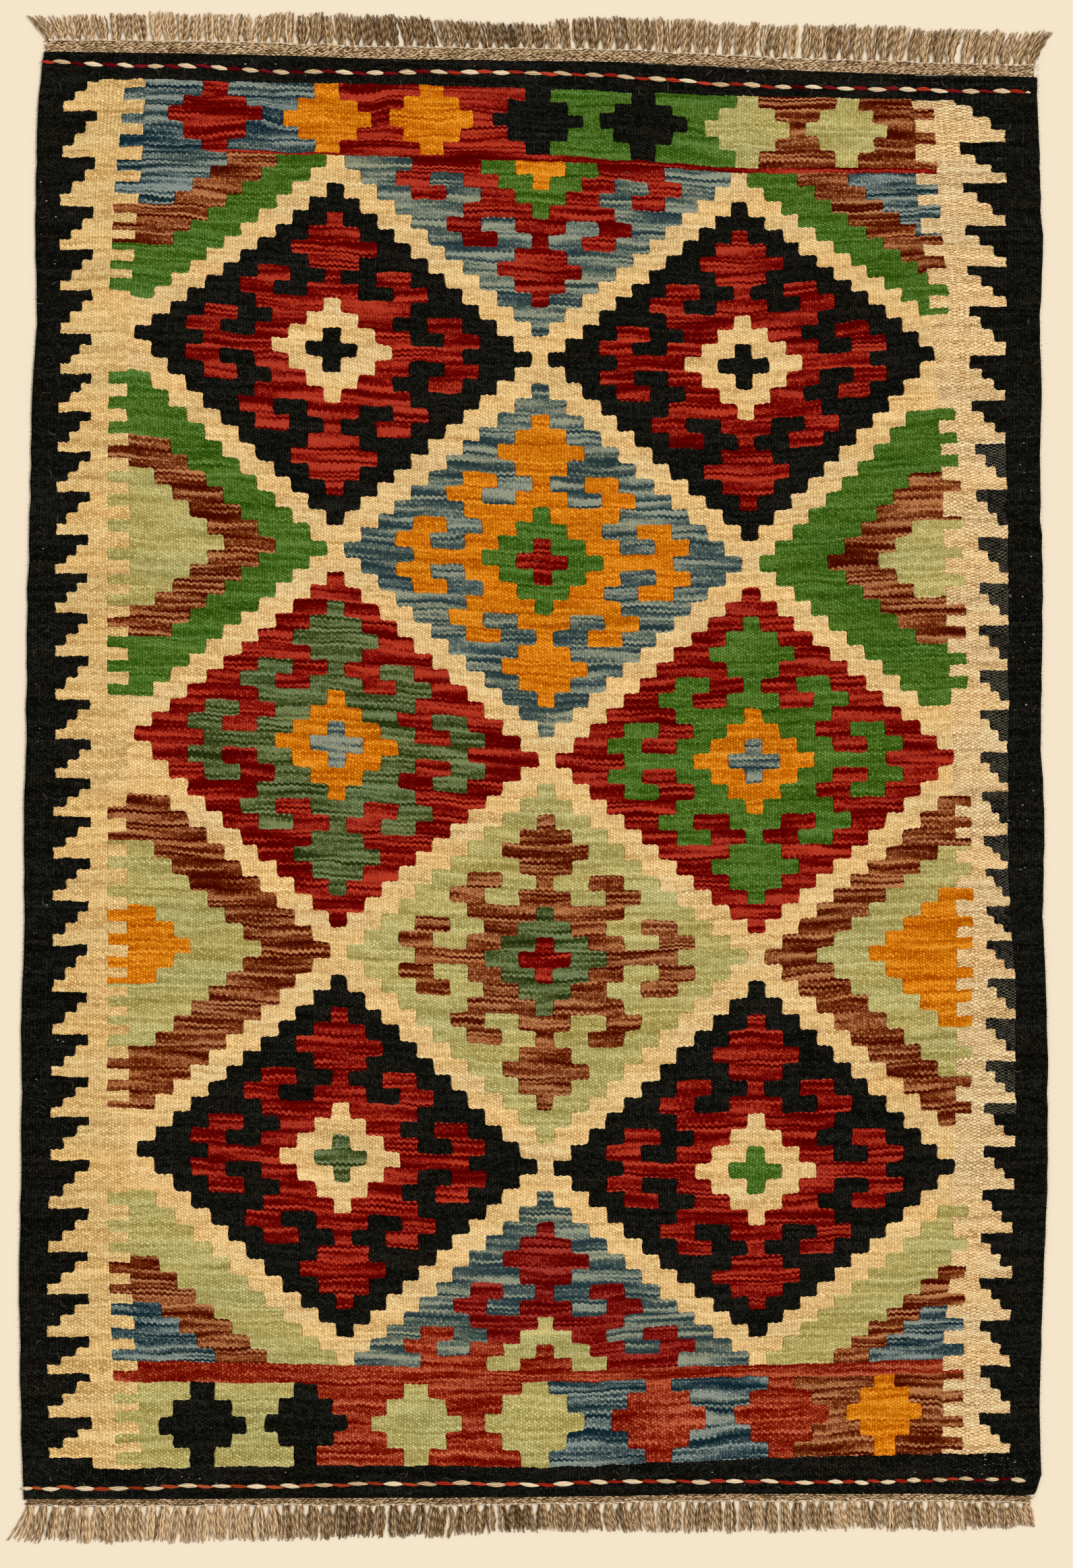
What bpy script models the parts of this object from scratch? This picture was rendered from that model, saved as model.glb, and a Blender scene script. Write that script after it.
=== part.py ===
"""Kilim rug: a flat woven wool cloth with a knotted fringe at each end.

The rug lies flat on the ground plane, its length along Y and its upper side facing +Z.
It is five solids: the cloth, a fringe at each end and a twined yarn line across each end band.
Lengths in the tables are millimetres, and everything is built in metres.
"""
import math
from collections import namedtuple

import bmesh
import bpy

MM = 0.001

# Driving dimensions, in millimetres.
CLOTH_THICKNESS = 2.4
STRIP_THICKNESS = 2.0
PARTING = 0.3              # space kept between neighbouring solids
CLOTH_COLUMNS = 12
CLOTH_ROWS = 30

TASSELS = 75               # at each end
LOCKS_PER_TASSEL = 2
LOCK_WIDTH = 5.0           # at the root
LOCK_SPLIT = 0.8           # between the two locks of a tassel
LOCK_MIDDLE = 0.5          # where a lock bends, as a share of its length
LOCK_TAPER_MIDDLE = 0.9    # width at the bend, as a share of the root's
LOCK_TAPER_TIP = 0.55
LOCK_TIP_HEIGHT = 0.6      # thickness at the tip, as a share of the strip's
LOCK_RAGGED = 2.2          # how far tips are cut long or short
LOCK_STRAY = 1.0           # how far tips stray sideways
FLARE_REACH = 22.0         # how far in from a corner the outward flare of its locks is felt
PARTED_LEAN = 2.6          # how far locks lean away where the fringe has fallen open
PARTED_REACH = 9.0

GRAIN_WIDTH = 5.0          # of one wrap of the twined line
GRAIN_HEIGHT = 1.6
GRAIN_WAIST = 0.45         # between two wraps, as a share of the width

# The selvedges: how far each side edge stands from the middle line, down the length.
Selvedge = namedtuple("Selvedge", "height left right")
SELVEDGES = (
    Selvedge(height=713, left=-480, right=492),
    Selvedge(height=660, left=-486, right=492),
    Selvedge(height=600, left=-488, right=494),
    Selvedge(height=515, left=-488, right=497),
    Selvedge(height=450, left=-487, right=494),
    Selvedge(height=375, left=-492, right=496),
    Selvedge(height=300, left=-493, right=494),
    Selvedge(height=200, left=-496, right=497),
    Selvedge(height=100, left=-497, right=496),
    Selvedge(height=25, left=-498, right=495),
    Selvedge(height=-30, left=-500, right=499),
    Selvedge(height=-130, left=-499, right=497),
    Selvedge(height=-230, left=-502, right=501),
    Selvedge(height=-370, left=-502, right=502),
    Selvedge(height=-460, left=-504, right=499),
    Selvedge(height=-525, left=-504, right=496),
    Selvedge(height=-610, left=-503, right=494),
    Selvedge(height=-680, left=-501, right=495),
    Selvedge(height=-705, left=-500, right=488),
)

# The ends, at equal steps from the left selvedge to the right one: the cloth's last row,
# the middle of the twined line, the mean height of the fringe's tips and the way they lean.
EndStation = namedtuple("EndStation", "edge line tips lean")
TOP_END = (
    EndStation(edge=711, line=701, tips=748, lean=-4),
    EndStation(edge=710, line=698, tips=749, lean=-2),
    EndStation(edge=709, line=696, tips=750, lean=0),
    EndStation(edge=707, line=691, tips=749, lean=1),
    EndStation(edge=704, line=690, tips=748, lean=-7),
    EndStation(edge=703, line=691, tips=743, lean=-7),
    EndStation(edge=702, line=690, tips=740, lean=-6),
    EndStation(edge=701, line=687, tips=747, lean=-2),
    EndStation(edge=697, line=681, tips=741, lean=3),
    EndStation(edge=693, line=676, tips=738, lean=3),
    EndStation(edge=690, line=675, tips=737, lean=2),
    EndStation(edge=688, line=673, tips=732, lean=7),
    EndStation(edge=686, line=671, tips=731, lean=9),
)
BOTTOM_END = (
    EndStation(edge=-704, line=-693, tips=-746, lean=-3),
    EndStation(edge=-704, line=-694, tips=-747, lean=-1),
    EndStation(edge=-704, line=-691, tips=-747, lean=-2),
    EndStation(edge=-703, line=-692, tips=-744, lean=1),
    EndStation(edge=-703, line=-689, tips=-743, lean=-2),
    EndStation(edge=-703, line=-689, tips=-742, lean=-3),
    EndStation(edge=-702, line=-690, tips=-737, lean=2),
    EndStation(edge=-701, line=-687, tips=-737, lean=3),
    EndStation(edge=-699, line=-687, tips=-738, lean=-1),
    EndStation(edge=-699, line=-687, tips=-736, lean=1),
    EndStation(edge=-699, line=-687, tips=-734, lean=3),
    EndStation(edge=-699, line=-685, tips=-735, lean=2),
    EndStation(edge=-701, line=-685, tips=-732, lean=1),
)

# What differs between the two ends. Places across the rug are shares of its width.
End = namedtuple("End", "stations out strip flare_left flare_right parted grains line_from line_to")
TOP = End(stations=TOP_END, out=1, strip=12.0, flare_left=-15.0, flare_right=5.0,
          parted=(0.21, 0.76, 0.905), grains=66, line_from=0.004, line_to=0.992)
BOTTOM = End(stations=BOTTOM_END, out=-1, strip=7.0, flare_left=-15.0, flare_right=4.0,
             parted=(0.155, 0.395, 0.905), grains=60, line_from=0.004, line_to=0.986)

# Surface finishes: colour, roughness.
Finish = namedtuple("Finish", "colour roughness")
WOVEN_WOOL = Finish(colour=(0.34, 0.15, 0.07, 1.0), roughness=0.92)
WARP_YARN = Finish(colour=(0.30, 0.23, 0.15, 1.0), roughness=0.90)
TWINED_YARN = Finish(colour=(0.42, 0.10, 0.06, 1.0), roughness=0.88)


def lerp(a, b, share):
    return a + (b - a) * share


def selvedge(height):
    """The left and right edges at this height."""
    if height >= SELVEDGES[0].height:
        return SELVEDGES[0].left, SELVEDGES[0].right
    for upper, lower in zip(SELVEDGES, SELVEDGES[1:]):
        if height >= lower.height:
            share = (height - lower.height) / (upper.height - lower.height)
            return lerp(lower.left, upper.left, share), lerp(lower.right, upper.right, share)
    return SELVEDGES[-1].left, SELVEDGES[-1].right


def at_end(end, across, column):
    """One column of an end's stations, read at a share of the width."""
    place = min(max(across, 0.0), 1.0) * (len(end.stations) - 1)
    index = min(int(place), len(end.stations) - 2)
    before = getattr(end.stations[index], column)
    after = getattr(end.stations[index + 1], column)
    return lerp(before, after, place - index)


def place_across(across, height):
    """The X of a share of the width at this height."""
    left, right = selvedge(height)
    return lerp(left, right, across)


def uneven(index, salt):
    """A fixed value from -1 to 1 for each lock, with no visible order."""
    wave = math.sin(index * 12.9898 + salt * 78.233) * 43758.5453
    return 2.0 * (wave - math.floor(wave)) - 1.0


def material(name, finish):
    """A plain dielectric finish."""
    made = bpy.data.materials.new(name)
    made.use_nodes = True
    shader = made.node_tree.nodes["Principled BSDF"]
    shader.inputs["Base Color"].default_value = finish.colour
    shader.inputs["Roughness"].default_value = finish.roughness
    shader.inputs["Metallic"].default_value = 0.0
    made.diffuse_color = finish.colour
    return made


def add_object(name, mesh, collection, finish):
    """An object for this mesh in the rug's collection."""
    piece = bpy.data.objects.new(name, mesh)
    collection.objects.link(piece)
    mesh.materials.clear()
    mesh.materials.append(material(name + "_finish", finish))
    return piece


def grid_mesh(name, columns, rows, place):
    """A flat grid whose points are put by place(share across, share along)."""
    mesh = bpy.data.meshes.new(name)
    bm = bmesh.new()
    bmesh.ops.create_grid(bm, x_segments=columns, y_segments=rows, size=0.5)
    for vert in bm.verts:
        vert.co.x, vert.co.y = place(vert.co.x + 0.5, vert.co.y + 0.5)
    bm.to_mesh(mesh)
    bm.free()
    return mesh


def cloth_point(across, along):
    """A point of the cloth, from its lower left corner."""
    height = lerp(at_end(BOTTOM, across, "edge"), at_end(TOP, across, "edge"), along)
    return place_across(across, height) * MM, height * MM


def make_cloth(collection):
    """The woven sheet: its underside lies on the ground plane."""
    mesh = grid_mesh("kilim_cloth", CLOTH_COLUMNS, CLOTH_ROWS, cloth_point)
    piece = add_object("kilim_cloth", mesh, collection, WOVEN_WOOL)
    solidify = piece.modifiers.new("thickness", "SOLIDIFY")
    solidify.thickness = CLOTH_THICKNESS * MM
    solidify.offset = 1.0
    return piece


def root_cuts():
    """Where the locks' roots start and stop along the strip, as shares of the width."""
    pitch = 1.0 / TASSELS
    width_mm = SELVEDGES[0].right - SELVEDGES[0].left
    lock = LOCK_WIDTH / width_mm
    split = LOCK_SPLIT / width_mm
    start = (pitch - LOCKS_PER_TASSEL * lock - split) / 2.0
    cuts = [0.0]
    for tassel in range(TASSELS):
        left = tassel * pitch + start
        cuts += [left, left + lock, left + lock + split, left + 2.0 * lock + split]
    cuts.append(1.0)
    return cuts


def lean_at(end, across, index):
    """How far a lock's tip lies to the side of its root."""
    width_mm = SELVEDGES[0].right - SELVEDGES[0].left
    lean = at_end(end, across, "lean") + LOCK_STRAY * uneven(index, end.strip)
    lean += end.flare_left * math.exp(-across * width_mm / FLARE_REACH)
    lean += end.flare_right * math.exp(-(1.0 - across) * width_mm / FLARE_REACH)
    for place in end.parted:
        away = (across - place) * width_mm
        push = PARTED_LEAN * math.exp(-abs(away) / PARTED_REACH)
        lean += math.copysign(push, away)
    return lean


def middle_x(face):
    """How far across the rug a face lies."""
    return face.calc_center_median().x


def draw_out(bm, faces, moves, taper, thin):
    """Extrude each face on its own, moved, narrowed about its middle and thinned downwards."""
    drawn = bmesh.ops.extrude_discrete_faces(bm, faces=faces)["faces"]
    drawn.sort(key=middle_x)
    for face, (aside, outwards) in zip(drawn, moves):
        middle = middle_x(face)
        for vert in face.verts:
            vert.co.x = middle + (vert.co.x - middle) * taper + aside * MM
            vert.co.y += outwards * MM
            vert.co.z *= thin
    return drawn


def make_fringe(name, end, collection):
    """The heading strip, with its locks extruded from the outer side."""
    cuts = root_cuts()

    def strip_point(share, out_share):
        across = cuts[round(share * (len(cuts) - 1))]
        out = lerp(PARTING, end.strip, out_share) * end.out
        height = at_end(end, across, "edge") + out
        return place_across(across, height) * MM, height * MM

    mesh = grid_mesh(name, len(cuts) - 1, 1, strip_point)
    bm = bmesh.new()
    bm.from_mesh(mesh)
    raised = bmesh.ops.extrude_face_region(bm, geom=bm.faces[:])["geom"]
    for vert in (item for item in raised if isinstance(item, bmesh.types.BMVert)):
        vert.co.z = STRIP_THICKNESS * MM
    bmesh.ops.recalc_face_normals(bm, faces=bm.faces[:])

    outer = [face for face in bm.faces if face.normal.y * end.out > 0.9]
    outer.sort(key=middle_x)
    roots = outer[1::2]

    first_moves = []
    second_moves = []
    for index, face in enumerate(roots):
        across = (cuts[2 * index + 1] + cuts[2 * index + 2]) / 2.0
        length = at_end(end, across, "tips") - face.calc_center_median().y / MM
        length += end.out * LOCK_RAGGED * uneven(index, end.strip + 1.0)
        lean = lean_at(end, across, index)
        first_moves.append((lean * LOCK_MIDDLE ** 1.5, length * LOCK_MIDDLE))
        second_moves.append((lean * (1.0 - LOCK_MIDDLE ** 1.5), length * (1.0 - LOCK_MIDDLE)))
    bent = draw_out(bm, roots, first_moves, LOCK_TAPER_MIDDLE, 1.0)
    draw_out(bm, bent, second_moves, LOCK_TAPER_TIP / LOCK_TAPER_MIDDLE, LOCK_TIP_HEIGHT)
    bmesh.ops.recalc_face_normals(bm, faces=bm.faces[:])
    bm.to_mesh(mesh)
    bm.free()
    return add_object(name, mesh, collection, WARP_YARN)


def make_twined_line(name, end, collection):
    """Two yarns twined across the end band: a row of flat wraps with waists between them."""
    curve = bpy.data.curves.new(name, "CURVE")
    curve.dimensions = "3D"
    curve.bevel_depth = GRAIN_WIDTH / 2.0 * MM
    curve.bevel_resolution = 1
    curve.use_fill_caps = True
    spline = curve.splines.new("POLY")
    count = 2 * end.grains + 1
    spline.points.add(count - 1)
    for index, point in enumerate(spline.points):
        across = lerp(end.line_from, end.line_to, index / (count - 1))
        height = at_end(end, across, "line")
        point.co = (place_across(across, height) * MM, height * MM, 0.0, 1.0)
        point.radius = 1.0 if index % 2 else GRAIN_WAIST

    tube = bpy.data.objects.new(name + "_tube", curve)
    collection.objects.link(tube)
    bpy.context.view_layer.update()
    evaluated = tube.evaluated_get(bpy.context.evaluated_depsgraph_get())
    mesh = bpy.data.meshes.new_from_object(evaluated)
    bpy.data.objects.remove(tube)
    bpy.data.curves.remove(curve)

    bm = bmesh.new()
    bm.from_mesh(mesh)
    bmesh.ops.remove_doubles(bm, verts=bm.verts[:], dist=0.00001)
    flatten = GRAIN_HEIGHT / GRAIN_WIDTH
    rest_height = CLOTH_THICKNESS + PARTING + GRAIN_HEIGHT / 2.0
    for vert in bm.verts:
        vert.co.z = vert.co.z * flatten + rest_height * MM
    bmesh.ops.recalc_face_normals(bm, faces=bm.faces[:])
    bm.to_mesh(mesh)
    bm.free()
    return add_object(name, mesh, collection, TWINED_YARN)


def centre_on_origin(pieces):
    """Put the middle of the rug's plan at the origin."""
    bpy.context.view_layer.update()
    depsgraph = bpy.context.evaluated_depsgraph_get()
    xs = []
    ys = []
    for piece in pieces:
        for corner in piece.evaluated_get(depsgraph).bound_box:
            xs.append(corner[0])
            ys.append(corner[1])
    for piece in pieces:
        piece.location = (-(min(xs) + max(xs)) / 2.0, -(min(ys) + max(ys)) / 2.0, 0.0)


def main():
    for old in list(bpy.data.objects):
        bpy.data.objects.remove(old)
    collection = bpy.data.collections.new("kilim_rug")
    bpy.context.scene.collection.children.link(collection)
    pieces = [
        make_cloth(collection),
        make_fringe("fringe_top", TOP, collection),
        make_fringe("fringe_bottom", BOTTOM, collection),
        make_twined_line("twined_line_top", TOP, collection),
        make_twined_line("twined_line_bottom", BOTTOM, collection),
    ]
    centre_on_origin(pieces)


main()
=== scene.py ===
# %% [markdown]
# # A kilim rug, from chart to cloth
# A kilim is woven flat: coloured wool goes to and fro over the long warp threads and hides them.
# Each patch of colour turns back at its own edge, so the whole design is made of small steps.
# The lesson follows the weaver. First comes a chart of steps, then the chart becomes cloth, and
# last come the twined lines, the fringes and the light.

# %% Start: load the fixed frame
import bisect
import functools
import math
import random
from collections import namedtuple

import bmesh
import bpy
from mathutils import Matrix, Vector, noise


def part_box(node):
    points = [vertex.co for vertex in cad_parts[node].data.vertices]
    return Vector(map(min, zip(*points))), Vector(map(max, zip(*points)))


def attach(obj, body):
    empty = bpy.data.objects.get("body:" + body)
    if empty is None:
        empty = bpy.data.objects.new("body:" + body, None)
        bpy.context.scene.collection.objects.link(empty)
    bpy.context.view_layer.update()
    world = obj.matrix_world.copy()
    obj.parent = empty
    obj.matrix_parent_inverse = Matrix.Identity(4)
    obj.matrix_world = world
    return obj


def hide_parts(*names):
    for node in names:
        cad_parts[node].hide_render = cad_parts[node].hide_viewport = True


MM = 0.001
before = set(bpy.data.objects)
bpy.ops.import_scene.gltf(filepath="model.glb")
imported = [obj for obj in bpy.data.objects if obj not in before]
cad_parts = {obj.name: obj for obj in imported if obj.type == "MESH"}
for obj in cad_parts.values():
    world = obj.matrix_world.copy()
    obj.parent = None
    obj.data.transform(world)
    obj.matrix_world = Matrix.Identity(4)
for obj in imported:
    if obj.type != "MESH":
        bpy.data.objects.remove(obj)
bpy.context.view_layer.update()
cloth_low, cloth_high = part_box("kilim_cloth")
for thing in bpy.context.selected_objects:
    thing.select_set(False)

# %% [markdown]
# ## The ends and the sides of the cloth
# A hand-made cloth is never square. The solids of the rug were built from the tables below, so
# the cloth that is modelled here starts from the same ones. Lengths are millimetres: across the
# rug from its middle line, and along it from its middle.

# %% Tables of the outline
Selvedge = namedtuple("Selvedge", "height left right")
SELVEDGES = (
    Selvedge(height=713, left=-480, right=492),
    Selvedge(height=660, left=-486, right=492),
    Selvedge(height=600, left=-488, right=494),
    Selvedge(height=515, left=-488, right=497),
    Selvedge(height=450, left=-487, right=494),
    Selvedge(height=375, left=-492, right=496),
    Selvedge(height=300, left=-493, right=494),
    Selvedge(height=200, left=-496, right=497),
    Selvedge(height=100, left=-497, right=496),
    Selvedge(height=25, left=-498, right=495),
    Selvedge(height=-30, left=-500, right=499),
    Selvedge(height=-130, left=-499, right=497),
    Selvedge(height=-230, left=-502, right=501),
    Selvedge(height=-370, left=-502, right=502),
    Selvedge(height=-460, left=-504, right=499),
    Selvedge(height=-525, left=-504, right=496),
    Selvedge(height=-610, left=-503, right=494),
    Selvedge(height=-680, left=-501, right=495),
    Selvedge(height=-705, left=-500, right=488),
)

# The ends at equal steps from the left side to the right one: the cloth's last row, the middle
# of the twined line, the fringe's tips and the way that they lean.
EndStation = namedtuple("EndStation", "edge line tips lean")
TOP_END = (
    EndStation(edge=711, line=701, tips=748, lean=-4),
    EndStation(edge=710, line=698, tips=749, lean=-2),
    EndStation(edge=709, line=696, tips=750, lean=0),
    EndStation(edge=707, line=691, tips=749, lean=1),
    EndStation(edge=704, line=690, tips=748, lean=-7),
    EndStation(edge=703, line=691, tips=743, lean=-7),
    EndStation(edge=702, line=690, tips=740, lean=-6),
    EndStation(edge=701, line=687, tips=747, lean=-2),
    EndStation(edge=697, line=681, tips=741, lean=3),
    EndStation(edge=693, line=676, tips=738, lean=3),
    EndStation(edge=690, line=675, tips=737, lean=2),
    EndStation(edge=688, line=673, tips=732, lean=7),
    EndStation(edge=686, line=671, tips=731, lean=9),
)
BOTTOM_END = (
    EndStation(edge=-704, line=-693, tips=-746, lean=-3),
    EndStation(edge=-704, line=-694, tips=-747, lean=-1),
    EndStation(edge=-704, line=-691, tips=-747, lean=-2),
    EndStation(edge=-703, line=-692, tips=-744, lean=1),
    EndStation(edge=-703, line=-689, tips=-743, lean=-2),
    EndStation(edge=-703, line=-689, tips=-742, lean=-3),
    EndStation(edge=-702, line=-690, tips=-737, lean=2),
    EndStation(edge=-701, line=-687, tips=-737, lean=3),
    EndStation(edge=-699, line=-687, tips=-738, lean=-1),
    EndStation(edge=-699, line=-687, tips=-736, lean=1),
    EndStation(edge=-699, line=-687, tips=-734, lean=3),
    EndStation(edge=-699, line=-685, tips=-735, lean=2),
    EndStation(edge=-701, line=-685, tips=-732, lean=1),
)

# Where the wraps of a twined line start: some are drawn tighter near the sides. Index counts wraps
# from the left, and x is millimetres from the rug's middle line.
Wrap = namedtuple("Wrap", "index x")
TOP_WRAPS = (Wrap(index=64, x=484), Wrap(index=63, x=480), Wrap(index=1, x=-470), Wrap(index=0, x=-481))
BOTTOM_WRAPS = (Wrap(index=63, x=479), Wrap(index=48, x=288), Wrap(index=2, x=-482), Wrap(index=0, x=-502))

# What differs between the ends. Fringe and line name their solids, out is 1 where away from the
# rug is up, strip and rows are the heading's depth in millimetres and in picks, and a flare is how
# far the fringe leans at a corner. Parted are the shares of the width where it has fallen open.
End = namedtuple("End", "name fringe line stations out strip rows flare_left flare_right parted wraps")
TOP = End(
    name="upper", fringe="fringe_top", line="twined_line_top", stations=TOP_END, out=1, strip=12.0, rows=7,
    flare_left=-15.0, flare_right=5.0, parted=(0.21, 0.76, 0.905), wraps=TOP_WRAPS,
)
BOTTOM = End(
    name="lower", fringe="fringe_bottom", line="twined_line_bottom", stations=BOTTOM_END, out=-1, strip=7.0,
    rows=4, flare_left=-15.0, flare_right=4.0, parted=(0.155, 0.395, 0.905), wraps=BOTTOM_WRAPS,
)


def lerp(a, b, share):
    return a + (b - a) * share


def clamp(value, low=0.0, high=1.0):
    return min(max(value, low), high)


def along(rows, place, column):
    """Read one column of a table whose first column falls, at a place between two rows."""
    if place >= rows[0][0]:
        return getattr(rows[0], column)
    for upper, lower in zip(rows, rows[1:]):
        if place >= lower[0]:
            share = (place - lower[0]) / (upper[0] - lower[0])
            return lerp(getattr(lower, column), getattr(upper, column), share)
    return getattr(rows[-1], column)


def at_end(stations, across, column):
    """Read one column of an end, at a share of the rug's width."""
    place = clamp(across) * (len(stations) - 1)
    index = min(int(place), len(stations) - 2)
    return lerp(getattr(stations[index], column), getattr(stations[index + 1], column), place - index)


# The frame's middle is the middle of the whole rug with its fringes, a little off the tables' own.
SHIFT_X = cloth_low.x / MM - min(row.left for row in SELVEDGES)
SHIFT_Y = cloth_high.y / MM - max(station.edge for station in TOP_END)
print("shift of the tables, mm", round(SHIFT_X, 2), round(SHIFT_Y, 2))

# %% [markdown]
# ## The chart
# Weavers count. The field is a lattice of diamonds on a chart whose cell is six warps wide. Here
# a chart column is u, growing to the right, and a chart row is v, growing downwards, and the
# diamond at the upper left has its middle in column 0 of row 0. The tables say where some
# columns and rows of the chart lie on the cloth, because the beater packs some parts more.

# %% Chart columns and rows on the cloth
LEFT_EDGE, LEFT_TOOTH, LEFT_VALLEY = -17.9, -16.4, -14.3
LEFT_FINGER, LEFT_BASE, FIELD_LEFT = -13.2, -12.0, -11.5
FIELD_RIGHT, RIGHT_BASE, RIGHT_FINGER = 34.5, 35.5, 36.6
RIGHT_VALLEY, RIGHT_TOOTH, RIGHT_EDGE = 37.3, 39.1, 41.0
BEATS = (-12, 0, 12, 24, 36)

TOP_EDGE, TOP_BAND, TOP_LINE, FIELD_TOP = -21.0, -19.0, -14.0, -13.5
FIELD_BOTTOM, BOTTOM_STRIP, BOTTOM_BAND, BOTTOM_EDGE = 65.5, 66.5, 71.5, 73.5

# Heights of chart rows at the chart columns -12, 0, 12, 24 and 36.
Level = namedtuple("Level", "row at_side at_first at_middle at_third at_far")
LEVELS = (
    Level(row=TOP_BAND, at_side=684, at_first=680, at_middle=675, at_third=668, at_far=664),
    Level(row=TOP_LINE, at_side=615, at_first=613, at_middle=610, at_third=598, at_far=597),
    Level(row=FIELD_TOP, at_side=615, at_first=610, at_middle=604, at_third=593, at_far=592),
    Level(row=-13, at_side=609, at_first=604, at_middle=598, at_third=585, at_far=586),
    Level(row=-4.5, at_side=498, at_first=484, at_middle=475, at_third=467, at_far=484),
    Level(row=0, at_side=439, at_first=420, at_middle=410, at_third=403, at_far=417),
    Level(row=13, at_side=236, at_first=225, at_middle=212, at_third=210, at_far=215),
    Level(row=26, at_side=46, at_first=35, at_middle=17, at_third=17, at_far=21),
    Level(row=29, at_side=-7, at_first=-12, at_middle=-28, at_third=-27, at_far=-23),
    Level(row=31.5, at_side=-45, at_first=-51, at_middle=-65, at_third=-64, at_far=-66),
    Level(row=34.5, at_side=-92, at_first=-98, at_middle=-110, at_third=-108, at_far=-106),
    Level(row=39, at_side=-161, at_first=-169, at_middle=-177, at_third=-173, at_far=-169),
    Level(row=52, at_side=-360, at_first=-370, at_middle=-380, at_third=-384, at_far=-380),
    Level(row=58, at_side=-458, at_first=-464, at_middle=-471, at_third=-473, at_far=-469),
    Level(row=61.5, at_side=-511, at_first=-519, at_middle=-527, at_third=-519, at_far=-515),
    Level(row=65, at_side=-563, at_first=-566, at_middle=-573, at_third=-565, at_far=-560),
    Level(row=FIELD_BOTTOM, at_side=-569, at_first=-573, at_middle=-580, at_third=-572, at_far=-567),
    Level(row=BOTTOM_STRIP, at_side=-589, at_first=-592, at_middle=-590, at_third=-584, at_far=-581),
    Level(row=BOTTOM_BAND, at_side=-674, at_first=-671, at_middle=-673, at_third=-664, at_far=-659),
)

# How far from the middle line the chart's field columns lie, at several heights.
Warps = namedtuple("Warps", "height at_side at_first at_middle at_third at_far")
WARPS = (
    Warps(height=600, at_side=-391, at_first=-195, at_middle=6, at_third=199, at_far=397),
    Warps(height=415, at_side=-401, at_first=-199, at_middle=5, at_third=204, at_far=401),
    Warps(height=219, at_side=-395, at_first=-195, at_middle=7, at_third=211, at_far=412),
    Warps(height=26, at_side=-401, at_first=-194, at_middle=12, at_third=214, at_far=420),
    Warps(height=-170, at_side=-395, at_first=-192, at_middle=9, at_third=217, at_far=419),
    Warps(height=-374, at_side=-398, at_first=-189, at_middle=10, at_third=216, at_far=420),
    Warps(height=-565, at_side=-389, at_first=-185, at_middle=10, at_third=218, at_far=419),
)

# The toothed borders: where the teeth's tips and valleys, and the fingers' tips and bases, lie.
Border = namedtuple("Border", "height tooth valley finger base far_base far_finger far_valley far_tooth")
BORDERS = (
    Border(676, -460, -427, -401, -379, 364, 389, 410, 461),
    Border(564, -464, -432, -412, -388, 375, 396, 420, 461),
    Border(478, -464, -433, -416, -395, 385, 404, 424, 461),
    Border(392, -465, -434, -417, -399, 393, 407, 426, 460),
    Border(300, -467, -435, -418, -397, 398, 416, 432, 461),
    Border(201, -469, -438, -418, -396, 401, 420, 435, 463),
    Border(3, -469, -434, -418, -399, 410, 426, 436, 463),
    Border(-96, -471, -436, -418, -399, 412, 428, 442, 463),
    Border(-202, -471, -438, -418, -398, 413, 428, 442, 470),
    Border(-373, -474, -436, -418, -396, 411, 426, 439, 470),
    Border(-459, -476, -437, -417, -397, 408, 422, 436, 466),
    Border(-545, -477, -436, -414, -391, 400, 419, 436, 465),
    Border(-670, -475, -432, -409, -385, 398, 419, 435, 465),
)


def stations_at(table, place):
    """Every column of a table but its first, at a place along it."""
    return [along(table, place, column) for column in table[0]._fields[1:]]


def across_field(values, u):
    """Read five values that stand at the chart columns in BEATS at any column."""
    place = clamp((u - BEATS[0]) / (BEATS[1] - BEATS[0]), 0.0, len(BEATS) - 1.0)
    index = min(int(place), len(BEATS) - 2)
    return lerp(values[index], values[index + 1], place - index)


def level_values(v):
    """Heights of a chart row at the five columns, between the two end bands."""
    for upper, lower in zip(LEVELS, LEVELS[1:]):
        if v <= lower.row:
            share = (v - upper.row) / (lower.row - upper.row)
            return [lerp(a, b, share) for a, b in zip(upper[1:], lower[1:])]
    return LEVELS[-1][1:]


def share_of_width(u):
    """Roughly how far across the rug a chart column lies."""
    return (u - LEFT_EDGE) / (RIGHT_EDGE - LEFT_EDGE)


def column_places(height):
    """Chart columns and where they lie across the cloth at this height, from left to right."""
    field = stations_at(WARPS, height)
    border = stations_at(BORDERS, height)
    left = along(SELVEDGES, height, "left")
    right = along(SELVEDGES, height, "right")
    return (
        (LEFT_EDGE, left), (LEFT_TOOTH, border[0]), (LEFT_VALLEY, border[1]),
        (LEFT_FINGER, border[2]), (LEFT_BASE, border[3]), (FIELD_LEFT, across_field(field, FIELD_LEFT)),
        (0.0, field[1]), (12.0, field[2]), (24.0, field[3]),
        (FIELD_RIGHT, across_field(field, FIELD_RIGHT)), (RIGHT_BASE, border[4]),
        (RIGHT_FINGER, border[5]), (RIGHT_VALLEY, border[6]), (RIGHT_TOOTH, border[7]), (RIGHT_EDGE, right),
    )


def place_at(places, u):
    """Where a chart column lies, from the list that column_places gives."""
    for (u_before, x_before), (u_after, x_after) in zip(places, places[1:]):
        if u <= u_after:
            return lerp(x_before, x_after, (u - u_before) / (u_after - u_before))
    return places[-1][1]


def column_of(x, height):
    """The chart column at a place on the cloth."""
    places = column_places(height)
    for (u_before, x_before), (u_after, x_after) in zip(places, places[1:]):
        if x <= x_after:
            return lerp(u_before, u_after, (x - x_before) / (x_after - x_before))
    return RIGHT_EDGE


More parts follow.
